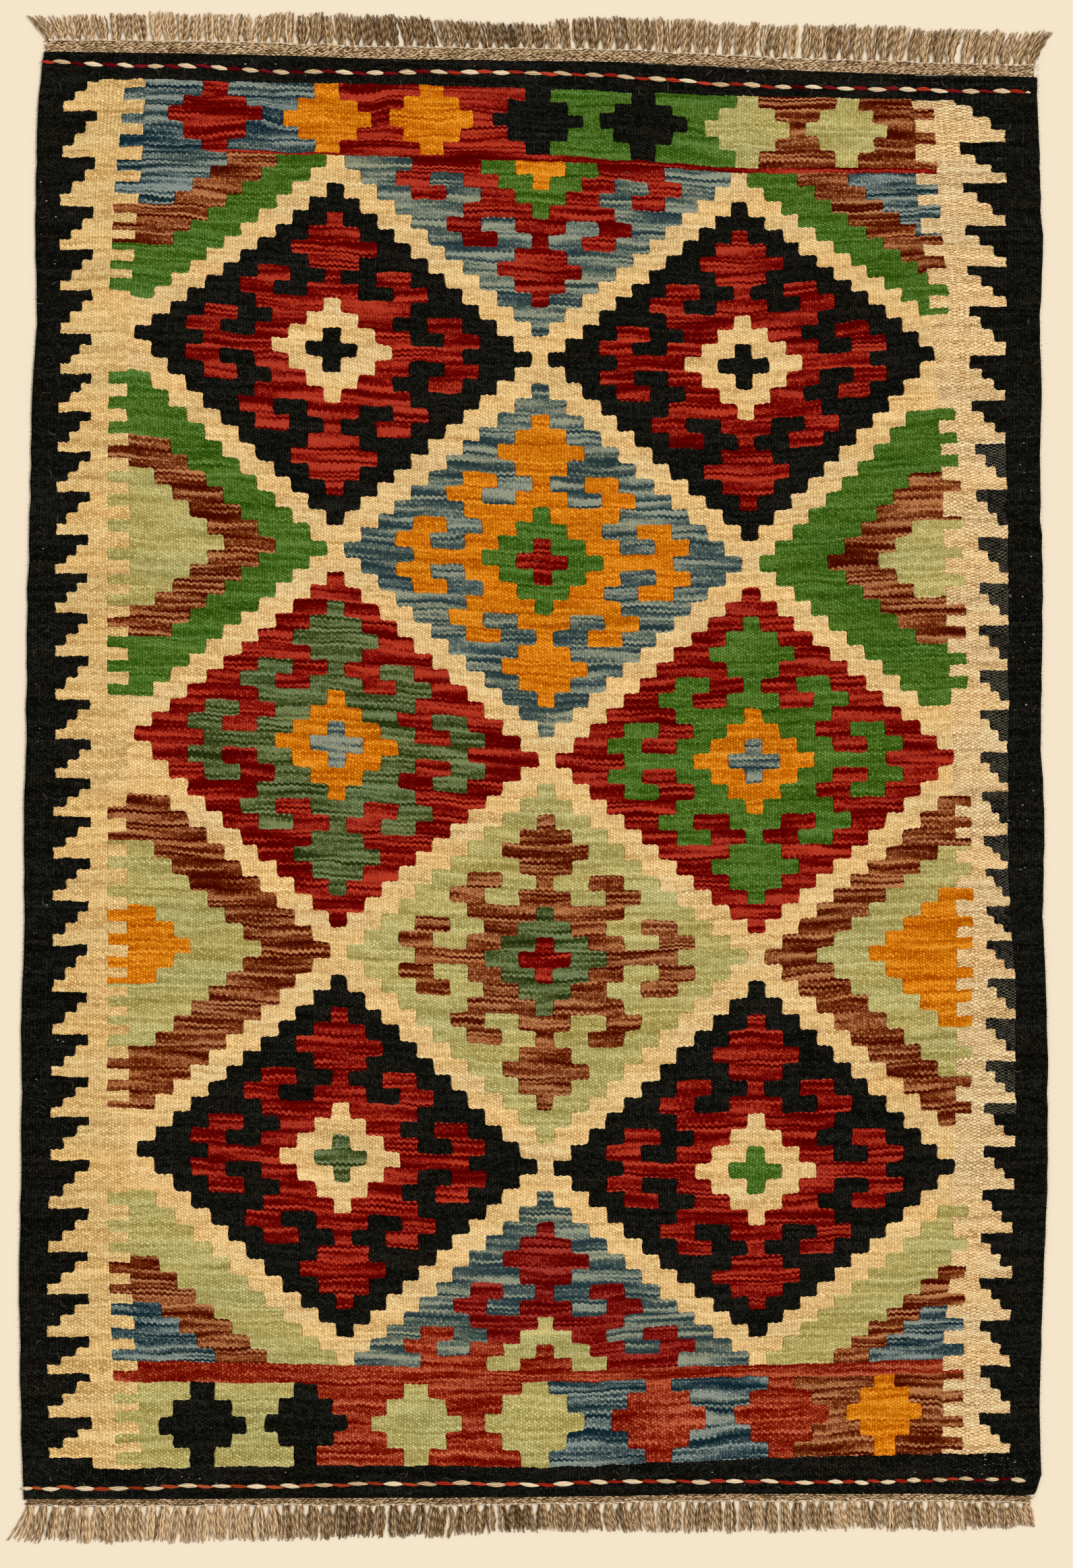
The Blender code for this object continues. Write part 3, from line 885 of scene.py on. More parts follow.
def wavered(u, v, parts):
    """The sum of several noises at one place."""
    return sum(part.share * waver(u, v, part.salt, part.size) for part in parts)


def worn_corner(x, height):
    """Pull the square lower right corner in to an arc."""
    last = SELVEDGES[-1]
    out = x - (last.right - CORNER_RADIUS)
    down = (BOTTOM_END[-1].edge + CORNER_RADIUS) - height
    if out <= 0.0 or down <= 0.0:
        return x, height
    share = 1.0 - max(out, down) / math.hypot(out, down)
    return x - out * share, height + down * share


def place_point(u, v, slit):
    """Where a point of the chart lies on the cloth's upper side, in millimetres."""
    height = height_at(u, v)
    x = place_at(places_near(round(height)), u)
    side_distance, end_distance = min(u - LEFT_EDGE, RIGHT_EDGE - u), min(v - TOP_EDGE, BOTTOM_EDGE - v)
    from_side, from_end = clamp(side_distance), clamp(end_distance * 2.0)
    across = WAVER_ACROSS * wavered(u, v, ACROSS_WAVERS)
    up = WAVER_ALONG * wavered(u, v, ALONG_WAVERS)
    side_waver = SELVEDGE_WAVER * wavered(u / STRETCH, v, SIDE_WAVERS)
    end_waver = END_WAVER * wavered(u, v / STRETCH, END_WAVERS)
    x += across * from_side + side_waver * (1.0 - from_side)
    height += up * min(from_side, from_end) + end_waver * (1.0 - from_end)
    x, height = worn_corner(x, height)
    rise = CLOTH_THICKNESS + RUMPLE * (wavered(x, height, RUMPLE_WAVERS) - 0.5) - SLIT_DIP * slit
    rise -= SELVEDGE_DROP * (1.0 - clamp(side_distance / NEAR_SIDE[-1])) ** 1.5
    return x, height, rise


weave = bm.loops.layers.uv.new("weave")
for face in bm.faces:
    for loop in face.loops:
        loop[weave].uv = (loop.vert.co.x * WARPS_PER_CELL, loop.vert.co.y * BEADS_PER_CELL)
for vert in bm.verts:
    x, height, rise = place_point(vert.co.x, -vert.co.y, vert[slit_layer])
    vert.co = ((x + SHIFT_X) * MM, (height + SHIFT_Y) * MM, rise * MM)

bmesh.ops.recalc_face_normals(bm, faces=bm.faces[:])
if sum(face.normal.z for face in bm.faces) < 0.0:
    bmesh.ops.reverse_faces(bm, faces=bm.faces[:])
under = bmesh.ops.extrude_face_region(bm, geom=bm.faces[:], use_keep_orig=True)["geom"]
for vert in (item for item in under if isinstance(item, bmesh.types.BMVert)):
    vert.co.z = 0.0
bmesh.ops.recalc_face_normals(bm, faces=bm.faces[:])

# %% The map for baking
Region = namedtuple("Region", "left bottom width height")
UPPER_REGION = Region(0.004, 0.006, 0.770, 0.988)
UNDER_REGION = Region(0.786, 0.006, 0.210, 0.988)
LEFT_WALL_REGION = Region(0.776, 0.006, 0.002, 0.988)
RIGHT_WALL_REGION = Region(0.781, 0.006, 0.002, 0.988)
TOP_WALL_REGION = Region(0.004, 0.996, 0.770, 0.002)
BOTTOM_WALL_REGION = Region(0.004, 0.002, 0.770, 0.002)
LEVEL_NORMAL = 0.7         # faces whose normals rise or fall more than this aren't walls
WALL_MOST = CLOTH_THICKNESS * MM * 1.3         # more than the tallest wall


def bake_place(point, normal):
    """Where a corner of a face lies on the second map."""
    across = (point.x - cloth_low.x) / (cloth_high.x - cloth_low.x)
    along_side = (point.y - cloth_low.y) / (cloth_high.y - cloth_low.y)
    down = clamp(point.z / WALL_MOST)
    if normal.z > LEVEL_NORMAL:
        region, place = UPPER_REGION, (across, along_side)
    elif normal.z < -LEVEL_NORMAL:
        region, place = UNDER_REGION, (across, along_side)
    elif abs(normal.x) > abs(normal.y):
        region, place = (LEFT_WALL_REGION if normal.x < 0.0 else RIGHT_WALL_REGION), (down, along_side)
    else:
        region, place = (TOP_WALL_REGION if normal.y > 0.0 else BOTTOM_WALL_REGION), (across, down)
    return region.left + region.width * clamp(place[0]), region.bottom + region.height * clamp(place[1])


def triangles_of(mesh):
    """How many triangles the faces of a mesh make."""
    return sum(len(polygon.vertices) - 2 for polygon in mesh.polygons)


bake_map = bm.loops.layers.uv.new("OFBake")
for face in bm.faces:
    for loop in face.loops:
        loop[bake_map].uv = bake_place(loop.vert.co, face.normal)
bm.to_mesh(cloth.data)
bm.free()
print("cloth, mm", [round(v / MM, 1) for v in cloth.dimensions], "triangles", triangles_of(cloth.data))

# %% [markdown]
# ## Wool
# In a weft-faced cloth each warp carries a string of small beads, and each bead is the weft
# crossing over it. The next warp's beads sit half a step lower. Hand-dyed yarn is lighter and
# darker along its length, which draws level bands a few picks tall through the redder and bluer
# patches, and lone picks of another shade. All of these move one value along the dye's shades,
# and so do painted shade in the gaps between beads and in the slits and painted light on the
# beads' tops.


# %% A small kit for materials
class Finish:
    """A new material, with short ways to add nodes to it."""

    def __init__(self, name, roughness=0.95):
        self.material = bpy.data.materials.new(name)
        self.material.use_nodes = True
        self.nodes, self.links = self.material.node_tree.nodes, self.material.node_tree.links
        self.shader = self.nodes["Principled BSDF"]
        self.shader.inputs["Roughness"].default_value = roughness
        self.shader.inputs["Specular IOR Level"].default_value = 0.0

    def node(self, kind, **settings):
        """Add a node of one kind, with its settings."""
        made = self.nodes.new(kind)
        for name, value in settings.items():
            setattr(made, name, value)
        return made

    def maths(self, operation, *values, clamped=False):
        """Add a maths node on values that are numbers or other nodes' outputs."""
        made = self.node("ShaderNodeMath", operation=operation, use_clamp=clamped)
        for socket, value in zip(made.inputs, values):
            if isinstance(value, (int, float)):
                socket.default_value = value
            else:
                self.links.new(value, socket)
        return made.outputs[0]

    def noise(self, size_across, size_along, across, along, depth, detail=0.0):
        """Noise less its middle value, stretched by two sizes, with a third value to tell copies apart."""
        place = self.node("ShaderNodeCombineXYZ")
        self.links.new(self.maths("DIVIDE", across, size_across), place.inputs[0])
        self.links.new(self.maths("DIVIDE", along, size_along), place.inputs[1])
        if depth is not None:
            self.links.new(depth, place.inputs[2])
        texture = self.node("ShaderNodeTexNoise", noise_dimensions="3D")
        texture.inputs["Scale"].default_value = 1.0
        texture.inputs["Detail"].default_value = detail
        self.links.new(place.outputs[0], texture.inputs["Vector"])
        return self.maths("SUBTRACT", texture.outputs["Fac"], 0.5)

    def chance(self, dimensions, socket, value):
        """A random number from 0 to 1, and always the same one for the same value."""
        made = self.node("ShaderNodeTexWhiteNoise", noise_dimensions=dimensions)
        self.links.new(value, made.inputs[socket])
        return made.outputs["Value"]

    def attribute(self, name):
        """A value that is stored on the mesh."""
        return self.node("ShaderNodeAttribute", attribute_name=name).outputs["Fac"]

    def uv(self, name):
        """Both values of a UV map."""
        split = self.node("ShaderNodeSeparateXYZ")
        self.links.new(self.node("ShaderNodeUVMap", uv_map=name).outputs["UV"], split.inputs[0])
        return split.outputs["X"], split.outputs["Y"]

    def ramp(self, value, colours, places):
        """A colour between several, by a value from dark to light."""
        made = self.node("ShaderNodeValToRGB")
        stops = made.color_ramp.elements
        stops[0].position, stops[0].color = places[0], colours[0]
        stops[1].position, stops[1].color = places[-1], colours[-1]
        for colour, place in zip(colours[1:-1], places[1:-1]):
            stops.new(place).color = colour
        self.links.new(value, made.inputs["Fac"])
        return made.outputs["Color"]

    def tinted(self, colour, tint):
        """A colour times a tint."""
        made = self.node("ShaderNodeMix", data_type="RGBA", blend_type="MULTIPLY")
        made.inputs["Factor"].default_value = 1.0
        self.links.new(colour, made.inputs["A"])
        self.links.new(tint, made.inputs["B"])
        return made.outputs["Result"]

    def over(self, colour, shade, share):
        """A colour with one shade laid over a share of it."""
        made = self.node("ShaderNodeMix", data_type="RGBA", blend_type="MIX")
        self.links.new(share, made.inputs["Factor"])
        self.links.new(colour, made.inputs["A"])
        made.inputs["B"].default_value = linear(shade)
        return made.outputs["Result"]

    def paint(self, colour):
        """Give the surface its colour."""
        self.links.new(colour, self.shader.inputs["Base Color"])

    def shades(self, value, colours, places):
        """A colour by a value from dark to light, between shades as a screen shows them."""
        return self.ramp(value, [linear(shade) for shade in colours], places)

    def relief(self, value, depth, strength):
        """Let the light see a height of so many millimetres that the mesh doesn't have."""
        bump = self.node("ShaderNodeBump")
        bump.inputs["Strength"].default_value = strength
        bump.inputs["Distance"].default_value = depth * MM
        self.links.new(value, bump.inputs["Height"])
        self.links.new(bump.outputs["Normal"], self.shader.inputs["Normal"])


# %% Where the beads lie
WIND = 0.2                 # how far the line between two warps winds round their beads, in warps
SLANT = 0.3                # how far a bead's right end lies lower than its left one, in picks
SWAY_WARPS, SWAY_PICKS = 0.55, 0.9         # how far single beads stray
DRIFT_PICKS = 2.4                          # how far whole rows drift
ROUNDNESS = 4.0            # a high power makes a bead flat with steep sides
RIB, LOOSE_RIB = 0.7, 0.5  # how much of a bead's relief lies across it, in tight and in open cloth
SHED = -0.35               # how far the picks of every other warp fall back, in turns of the yarn
MEAN_BEAD = 0.82           # the mean of the bead profile
Beads = namedtuple("Beads", "warp pick column row turn across along profile")


def lay_beads(finish, dye):
    """Which bead a point of the cloth lies on, and where on it: across and along go from -1 to 1."""
    maths = finish.maths
    loose = dye.close < 1.0
    warp, pick = finish.uv("weave")
    warp, pick = maths("MULTIPLY", warp, dye.close), maths("MULTIPLY", pick, dye.close)
    sway = finish.noise(3.2, 2.6, warp, pick, None, detail=1.0)
    drift = finish.noise(14.0, 7.0, warp, pick, None)
    warp_place = maths("MULTIPLY_ADD", sway, SWAY_WARPS, warp)
    pick_place = maths("MULTIPLY_ADD", drift, DRIFT_PICKS, maths("MULTIPLY_ADD", sway, SWAY_PICKS, pick))
    side = maths("MULTIPLY_ADD", maths("PINGPONG", maths("ROUND", warp_place), 1.0), -2.0, 1.0)
    winding = maths("MULTIPLY", side, maths("COSINE", maths("MULTIPLY", pick_place, 2.0 * math.pi)))
    warp_place = maths("MULTIPLY_ADD", winding, -WIND, warp_place)
    column = maths("FLOOR", warp_place)
    odd = maths("PINGPONG", column, 1.0)
    across = maths("MULTIPLY_ADD", maths("FRACT", warp_place), 2.0, -1.0)
    slant = 0.0 if loose else SLANT / 2.0
    pick_place = maths("MULTIPLY_ADD", across, slant, maths("MULTIPLY_ADD", odd, 0.5, pick_place))
    row = maths("FLOOR", pick_place)
    along_bead = maths("MULTIPLY_ADD", maths("FRACT", pick_place), 2.0, -1.0)
    gap_across = maths("POWER", maths("ABSOLUTE", across), ROUNDNESS)
    gap_along = maths("POWER", maths("ABSOLUTE", along_bead), ROUNDNESS)
    rib = LOOSE_RIB if loose else RIB
    gap = maths("MULTIPLY_ADD", gap_across, rib, maths("MULTIPLY", gap_along, 1.0 - rib))
    turn = maths("MULTIPLY_ADD", row, 2.0, maths("MULTIPLY", odd, SHED))
    return Beads(warp, pick, column, row, turn, across, along_bead, maths("SUBTRACT", 1.0, gap))


# %% Wool materials
BAND_WARPS, BAND_TURNS = 75.0, 5.6         # size of a band of one shade
LONE_WARPS, LONE_TURNS = 30.0, 2.4         # and of a pick or two of another shade
FUZZ_WARPS, FUZZ_PICKS = 0.42, 0.34        # of the wool's own fuzz
WEAR_WARPS, WEAR_PICKS = 40.0, 30.0        # and of a worn place
BAND_SHARE, LONE_SHARE, SKEIN_SHARE = 0.5, 3.8, 0.14       # how much they move a tone, by a dye's streaks
FUZZ_SHARE, WEAR_SHARE, SPOT_SHARE = 2.4, 0.14, 0.36       # and on any dye
SLIT_POWER, SLIT_PAINTED_SHADE = 5.0, -0.5         # slits get painted shade, but only close to their middles
WARM, COOL = (1.03, 1.0, 0.94, 1.0), (0.95, 1.0, 1.06, 1.0)
TINT_WARPS, TINT_TURNS = 50.0, 24.0        # size of a warmer or cooler place
HOLE_GAIN, HOLE_START = 1.6, -1.5          # a hole opens only at a bead's corners
RELIEF_DEPTH, RELIEF_STRENGTH = 0.5, 0.4


def wool(dye):
    """The wool of one dye: every bead gets its tone from bands, lone picks, fuzz and wear, with painted shade
    in its gaps and in the slits and painted light on its top.
    """
    finish = Finish("wool_" + dye.name.replace(" ", "_"))
    maths = finish.maths
    beads = lay_beads(finish, dye)
    patch = finish.attribute("patch")
    band_copy, lone_copy = maths("MULTIPLY", patch, 7.3), maths("MULTIPLY", patch, 3.7)
    band = finish.noise(BAND_WARPS, BAND_TURNS, beads.warp, beads.turn, band_copy, detail=1.0)
    lone = finish.noise(LONE_WARPS, LONE_TURNS, beads.warp, beads.turn, lone_copy)
    fuzz = finish.noise(FUZZ_WARPS, FUZZ_PICKS, beads.warp, beads.pick, None, detail=2.0)
    wear = finish.noise(WEAR_WARPS, WEAR_PICKS, beads.warp, beads.pick, None, detail=1.0)
    bead_place = finish.node("ShaderNodeCombineXYZ")
    finish.links.new(beads.column, bead_place.inputs[0])
    finish.links.new(beads.row, bead_place.inputs[1])
    spot = finish.chance("2D", "Vector", bead_place.outputs[0])
    skein = finish.chance("1D", "W", patch)

    # The bead profile paints shade into the gaps between beads and light onto their tops.
    tone = maths("MULTIPLY_ADD", maths("SUBTRACT", beads.profile, MEAN_BEAD), dye.beads, 0.5)
    tone = maths("MULTIPLY_ADD", band, BAND_SHARE * dye.streaks, tone)
    tone = maths("MULTIPLY_ADD", lone, LONE_SHARE * dye.streaks, tone)
    tone = maths("MULTIPLY_ADD", fuzz, FUZZ_SHARE, tone)
    tone = maths("MULTIPLY_ADD", wear, WEAR_SHARE, tone)
    tone = maths("MULTIPLY_ADD", maths("SUBTRACT", spot, 0.5), SPOT_SHARE, tone)
    tone = maths("MULTIPLY_ADD", maths("SUBTRACT", skein, 0.5), SKEIN_SHARE * dye.streaks, tone)
    # Painted shade along the slits, darkest close to a slit's middle.
    slit = maths("POWER", finish.attribute("slit"), SLIT_POWER)
    tone = maths("MULTIPLY_ADD", slit, SLIT_PAINTED_SHADE, tone, clamped=True)
    warmth = maths("ADD", finish.noise(TINT_WARPS, TINT_TURNS, beads.warp, beads.turn, patch), 0.5)
    colour = finish.shades(tone, [getattr(dye, shade) for shade in DYE_SHADES], SHADE_PLACES)
    colour = finish.tinted(colour, finish.ramp(warmth, (WARM, COOL), (0.3, 0.7)))
    # Holes show what lies behind: pale warp in the open black, painted shade in the open cream.
    if dye.peep:
        squares = [maths("MULTIPLY", place, place) for place in (beads.across, beads.along)]
        hole = maths("MULTIPLY_ADD", maths("ADD", *squares), HOLE_GAIN, HOLE_START, clamped=True)
        often = maths("MULTIPLY_ADD", wear, 3.0, maths("MULTIPLY_ADD", spot, 0.9, 0.15), clamped=True)
        colour = finish.over(colour, dye.behind, maths("MULTIPLY", hole, maths("MULTIPLY", often, dye.peep)))
    finish.paint(colour)
    finish.relief(beads.profile, RELIEF_DEPTH, RELIEF_STRENGTH)
    return finish.material


for dye in DYES:
    cloth.data.materials.append(wool(dye))
print("wools", len(cloth.data.materials))


def dress(piece, node):
    """Let a piece stand for a solid of the frame."""
    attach(piece, "root")
    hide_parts(node)


dress(cloth, "kilim_cloth")

# %% [markdown]
# ## Yarns from one template
# The fringes, the heading strips and the twined lines are hundreds of short yarns. One yarn is
# modelled, a cylinder cut into rings, and every other one is a copy of it, bent point by point.
# The copies of a piece are joined, and each keeps a tone of its own in an attribute.

# %% Template and copies
Copy = namedtuple("Copy", "place tone wool", defaults=(0,))


def yarn_template(name, sides, rings):
    """A cylinder one wide and one long, upright on the origin, cut across into rings."""
    bpy.ops.object.select_all(action="DESELECT")
    bpy.ops.mesh.primitive_cylinder_add(vertices=sides, radius=0.5, depth=1.0, location=(0.0, 0.0, 0.5))
    bpy.ops.object.transform_apply(location=True)
    template = bpy.context.object
    bpy.ops.object.mode_set(mode="EDIT")
    bpy.ops.mesh.select_mode(type="EDGE")
    bpy.ops.mesh.select_all(action="DESELECT")
    cage = bmesh.from_edit_mesh(template.data)
    for edge in cage.edges:
        edge.select_set(abs(edge.verts[0].co.z - edge.verts[1].co.z) > 0.5)
    bpy.ops.mesh.subdivide(number_cuts=rings - 1)
    bpy.ops.object.mode_set(mode="OBJECT")
    mesh = template.data
    mesh.name = name
    bpy.data.objects.remove(template)
    return mesh


def strew(name, template, copies, finishes):
    """Join copies of a template mesh into one piece, and give it its finishes."""
    joined = bmesh.new()
    tones = []
    for copy in copies:
        first_point, first_face = len(joined.verts), len(joined.faces)
        joined.from_mesh(template)
        joined.verts.ensure_lookup_table()
        joined.faces.ensure_lookup_table()
        for vert in joined.verts[first_point:]:
            vert.co = copy.place(vert.co) * MM
        for face in joined.faces[first_face:]:
            face.material_index = copy.wool
            face.smooth = True
        tones += [copy.tone] * (len(joined.verts) - first_point)
    bmesh.ops.recalc_face_normals(joined, faces=joined.faces[:])
    mesh = bpy.data.meshes.new(name)
    joined.to_mesh(mesh)
    joined.free()
    mesh.attributes.new("tone", "FLOAT", "POINT").data.foreach_set("value", tones)
    piece = bpy.data.objects.new(name, mesh)
    bpy.context.scene.collection.objects.link(piece)
    for finish in finishes:
        mesh.materials.append(finish)
    print(name, "copies", len(copies), "triangles", triangles_of(mesh))
    return piece


def across_place(across, height):
    """The frame's X, in millimetres, of a share of the width at this height."""
    return lerp(along(SELVEDGES, height, "left"), along(SELVEDGES, height, "right"), across) + SHIFT_X


WIDTH = SELVEDGES[0].right - SELVEDGES[0].left
STRIP_WAVER, STRIP_WAVES = 0.8, 40.0       # how the heading's outer edge wavers, mm and times
TASSELS = 75               # at each end
FLARE_REACH = 22.0         # how far in from a corner the outward flare is felt, mm
PARTED_LEAN = 2.6          # how far yarns lean away where the fringe has fallen open
PARTED_REACH = 9.0


def lean_at(end, across):
    """How far the fringe leans to the side at a share of the width."""
    lean = at_end(end.stations, across, "lean")
    lean += end.flare_left * math.exp(-across * WIDTH / FLARE_REACH)
    lean += end.flare_right * math.exp(-(1.0 - across) * WIDTH / FLARE_REACH)
    for place in end.parted:
        away = (across - place) * WIDTH
        lean += math.copysign(PARTED_LEAN * math.exp(-abs(away) / PARTED_REACH), away)
    return lean


def knot_height(end, across):
    """The height of the fringe's roots, where the heading strip ends."""
    strip = end.strip + STRIP_WAVER * waver(across * STRIP_WAVES, 0.0, end.strip, 1.0)
    return at_end(end.stations, across, "edge") + SHIFT_Y + end.out * strip


# %% [markdown]
# ## Undyed warp yarn
# The warps are undyed wool in two plies, grey-brown to beige. The plies show as short slanting
# stripes along each yarn, painted lighter and darker as light and shade on their twist, and no two
# yarns have quite the same shade.

# %% Yarn materials
YARN_FUZZ, YARN_FUZZ_SHARE = 0.8 * MM, 1.1
OWN_TURN = 37.0            # sets each yarn's twist apart by its own tone
YARN_PLACES = (0.05, 0.5, 0.95)        # where its three shades lie between dark and light
PLY_DEPTH, PLY_STRENGTH = 0.25, 0.4


def yarn(name, dark, middle, light, plies, turns, spread=0.55, groove_shade=0.22):
    """A twisted yarn: plies are counted round it and turns along it."""
    finish = Finish(name)
    around, along_yarn = finish.uv("UVMap")
    own = finish.attribute("tone")
    twist = finish.maths("MULTIPLY_ADD", along_yarn, turns, finish.maths("MULTIPLY", around, plies))
    twist = finish.maths("MULTIPLY_ADD", own, OWN_TURN, twist)
    ply = finish.maths("SINE", finish.maths("MULTIPLY", twist, 2.0 * math.pi))
    split = finish.node("ShaderNodeSeparateXYZ")
    finish.links.new(finish.node("ShaderNodeTexCoord").outputs["Object"], split.inputs[0])
    fuzz = finish.noise(YARN_FUZZ, YARN_FUZZ, split.outputs["X"], split.outputs["Y"], None, detail=2.0)
    tone = finish.maths("MULTIPLY_ADD", finish.maths("SUBTRACT", own, 0.5), spread, 0.5)
    # Painted shade and light along the ply grooves, as stripes that follow the twist.
    tone = finish.maths("MULTIPLY_ADD", ply, groove_shade, tone)
    tone = finish.maths("MULTIPLY_ADD", fuzz, YARN_FUZZ_SHARE, tone, clamped=True)
    finish.paint(finish.shades(tone, (dark, middle, light), YARN_PLACES))
    finish.relief(ply, PLY_DEPTH, PLY_STRENGTH)
    return finish.material


warp_wool = yarn(
    "undyed_warp_yarn", (76, 53, 30), (156, 124, 87), (232, 198, 154), plies=1, turns=7, spread=1.0,
)
heading_wool = yarn(
    "heading_yarn", (66, 48, 28), (166, 132, 93), (238, 206, 162), plies=1, turns=1, spread=0.95,
    groove_shade=0.1,
)
binding_thread = yarn(
    "binding_thread", (206, 176, 136), (242, 220, 188), (253, 240, 218), plies=1, turns=3,
)
print("yarns", warp_wool.name, heading_wool.name, binding_thread.name)

# %% [markdown]
# ## The heading strips
# Past the black bands the warps are bound by a few rows of undyed weft before they are knotted.
# The upper strip has seven rows and the lower one four. Each pick shows as a small fat bead over
# two warps, so the beads are copies of a small spindle over a thin dark backing, a sheet of painted
# shade between them. At the lower end the strip darkens towards the left.

# %% Heading strips
PICK_LENGTH = 4.9
PICK_WIDTH = 1.95
PICK_TILT = 0.05           # a pick rises this much along its length
PICKS = 196                # in a row
PICK_STRAY, PICK_TURN = 0.35, 0.22     # how far one lies off its row and its tilt
PICK_FLATNESS = 0.7        # its height over its width
BACKING_CELLS = 96         # along the strip
BACKING_INSET = 0.004      # of the backing's ends, as a share of the width
STRIP_RISE = 1.1           # height of the backing
UPPER_SHADE, LOWER_SHADES = 0.70, (0.52, 0.66)         # the lower strip's at its left and right
CORNER_DARKER, CORNER_FADE = 0.25, 14.0                # and its darker left corner
SHADE_SPREAD = 0.16        # from pick to pick
spindle = yarn_template("spindle", 5, 4)


def make_shade_backing(end):
    """A dark strip under the picks, painted shade between them: a grid laid between the cloth's edge and the
    knots.
    """
    bpy.ops.object.select_all(action="DESELECT")
    bpy.ops.mesh.primitive_grid_add(x_subdivisions=BACKING_CELLS, y_subdivisions=2, size=2.0)
    backing = bpy.context.object
    backing.name = "heading_backing_" + end.name
    bpy.ops.object.mode_set(mode="EDIT")
    bpy.ops.mesh.select_all(action="SELECT")
    bpy.ops.mesh.extrude_region_move(TRANSFORM_OT_translate={"value": (0.0, 0.0, STRIP_RISE)})
    bpy.ops.object.mode_set(mode="OBJECT")
    for vert in backing.data.vertices:
        across, out_share = vert.co.x / 2.0 + 0.5, vert.co.y / 2.0 + 0.5
        edge = at_end(end.stations, across, "edge") + SHIFT_Y + 0.2 * end.out
        height = lerp(edge, knot_height(end, across), out_share)
        inner = lerp(BACKING_INSET, 1.0 - BACKING_INSET, across)
        vert.co = Vector((across_place(inner, height - SHIFT_Y), height, vert.co.z)) * MM
    mesh_tools = bmesh.new()
    mesh_tools.from_mesh(backing.data)
    bmesh.ops.recalc_face_normals(mesh_tools, faces=mesh_tools.faces[:])
    mesh_tools.to_mesh(backing.data)
    mesh_tools.free()
    backing.data.materials.append(heading_wool)
    dress(backing, end.fringe)


def heading_shade(end, across):
    """The lower strip darkens towards the left."""
    if end is TOP:
        return UPPER_SHADE
    return lerp(*LOWER_SHADES, across) - CORNER_DARKER * math.exp(-across * CORNER_FADE)


def make_picks(end):
    """The rows of picks, every other row half a pick aside."""
    chance = random.Random(23 + end.rows)
    copies = []
    for row in range(end.rows):
        for pick in range(PICKS):
            across = (pick + 0.5 * (row % 2) + 0.5 + chance.uniform(-0.2, 0.2)) / (PICKS + 1)
            edge = at_end(end.stations, across, "edge") + SHIFT_Y
            height = lerp(edge, knot_height(end, across), (row + 0.45) / end.rows)
            height += chance.uniform(-PICK_STRAY, PICK_STRAY)
            length = PICK_LENGTH * chance.uniform(0.75, 1.3)
            width = PICK_WIDTH * chance.uniform(0.75, 1.15)
            tilt = PICK_TILT + chance.uniform(-PICK_TURN, PICK_TURN)
            rise = STRIP_RISE + chance.uniform(-0.1, 0.3)
            middle = Vector((across_place(across, height - SHIFT_Y), height, rise))

            def place(point, middle=middle, length=length, width=width, tilt=tilt):
                share = point.z - 0.5
                aside = share * length
                fat = width * (1.0 - 3.0 * share ** 2)
                return middle + Vector((aside, aside * tilt + point.x * fat, point.y * fat * PICK_FLATNESS))

            copies.append(Copy(place, clamp(chance.gauss(heading_shade(end, across), SHADE_SPREAD))))
    picks = strew("heading_picks_" + end.name, spindle, copies, [heading_wool])
    dress(picks, end.fringe)


for end in (TOP, BOTTOM):
    make_shade_backing(end)
    make_picks(end)

# %% [markdown]
# ## The fringes
# The warps leave the heading in 75 tassels at each end. Each is bound by a pale knot, and a pale
# thread runs from knot to knot. Past its knot a tassel fans out slowly, so that a wedge of floor
# shows between two of them. Its yarns are crinkled, cross each other and are cut a little
# unevenly. They lean with the tables of the ends, and some tassels have fallen apart.

# %% Yarns of the fringes
# The shade of the fringes from the left side to the right one: the wool is darker near the middle.
Shade = namedtuple("Shade", "across tone")
FRINGE_SHADES = (
    Shade(across=1.00, tone=0.56), Shade(across=0.85, tone=0.60), Shade(across=0.62, tone=0.52),
    Shade(across=0.50, tone=0.37), Shade(across=0.34, tone=0.32), Shade(across=0.25, tone=0.52),
    Shade(across=0.18, tone=0.70), Shade(across=0.00, tone=0.62),
)
YARNS_PER_TASSEL = 11
YARN_WIDTH = 2.0
YARN_THICKNESS = 1.15
ROOT_SPREAD = 5.8          # width of a tassel at its knot
TASSEL_SPREAD = (9.5, 15.0)     # and where it has fanned out, least and most
FAN_SHARE = 0.48           # share of the length in which it fans out
CROSSING = 1.3             # how far most yarns stray over their neighbours
YARN_BOW, TASSEL_BOW = 0.9, 0.7        # and bend to a side, alone and with their tassel
CRINKLE = 0.45             # waves of a yarn, to each side
CRINKLE_LENGTH = 8.5
LAYERS = (0.62, 1.15, 1.68)    # heights of the yarns at their roots
TUCKED = 0.8               # length of a yarn under its knot
fringe_yarn = yarn_template("fringe_yarn", 5, 12)
Tassel = namedtuple("Tassel", "spread lean bow ragged tone")


def smooth(share):
    """From 0 to 1 with a slow start and a slow end."""
    share = clamp(share)
    return share * share * (3.0 - 2.0 * share)


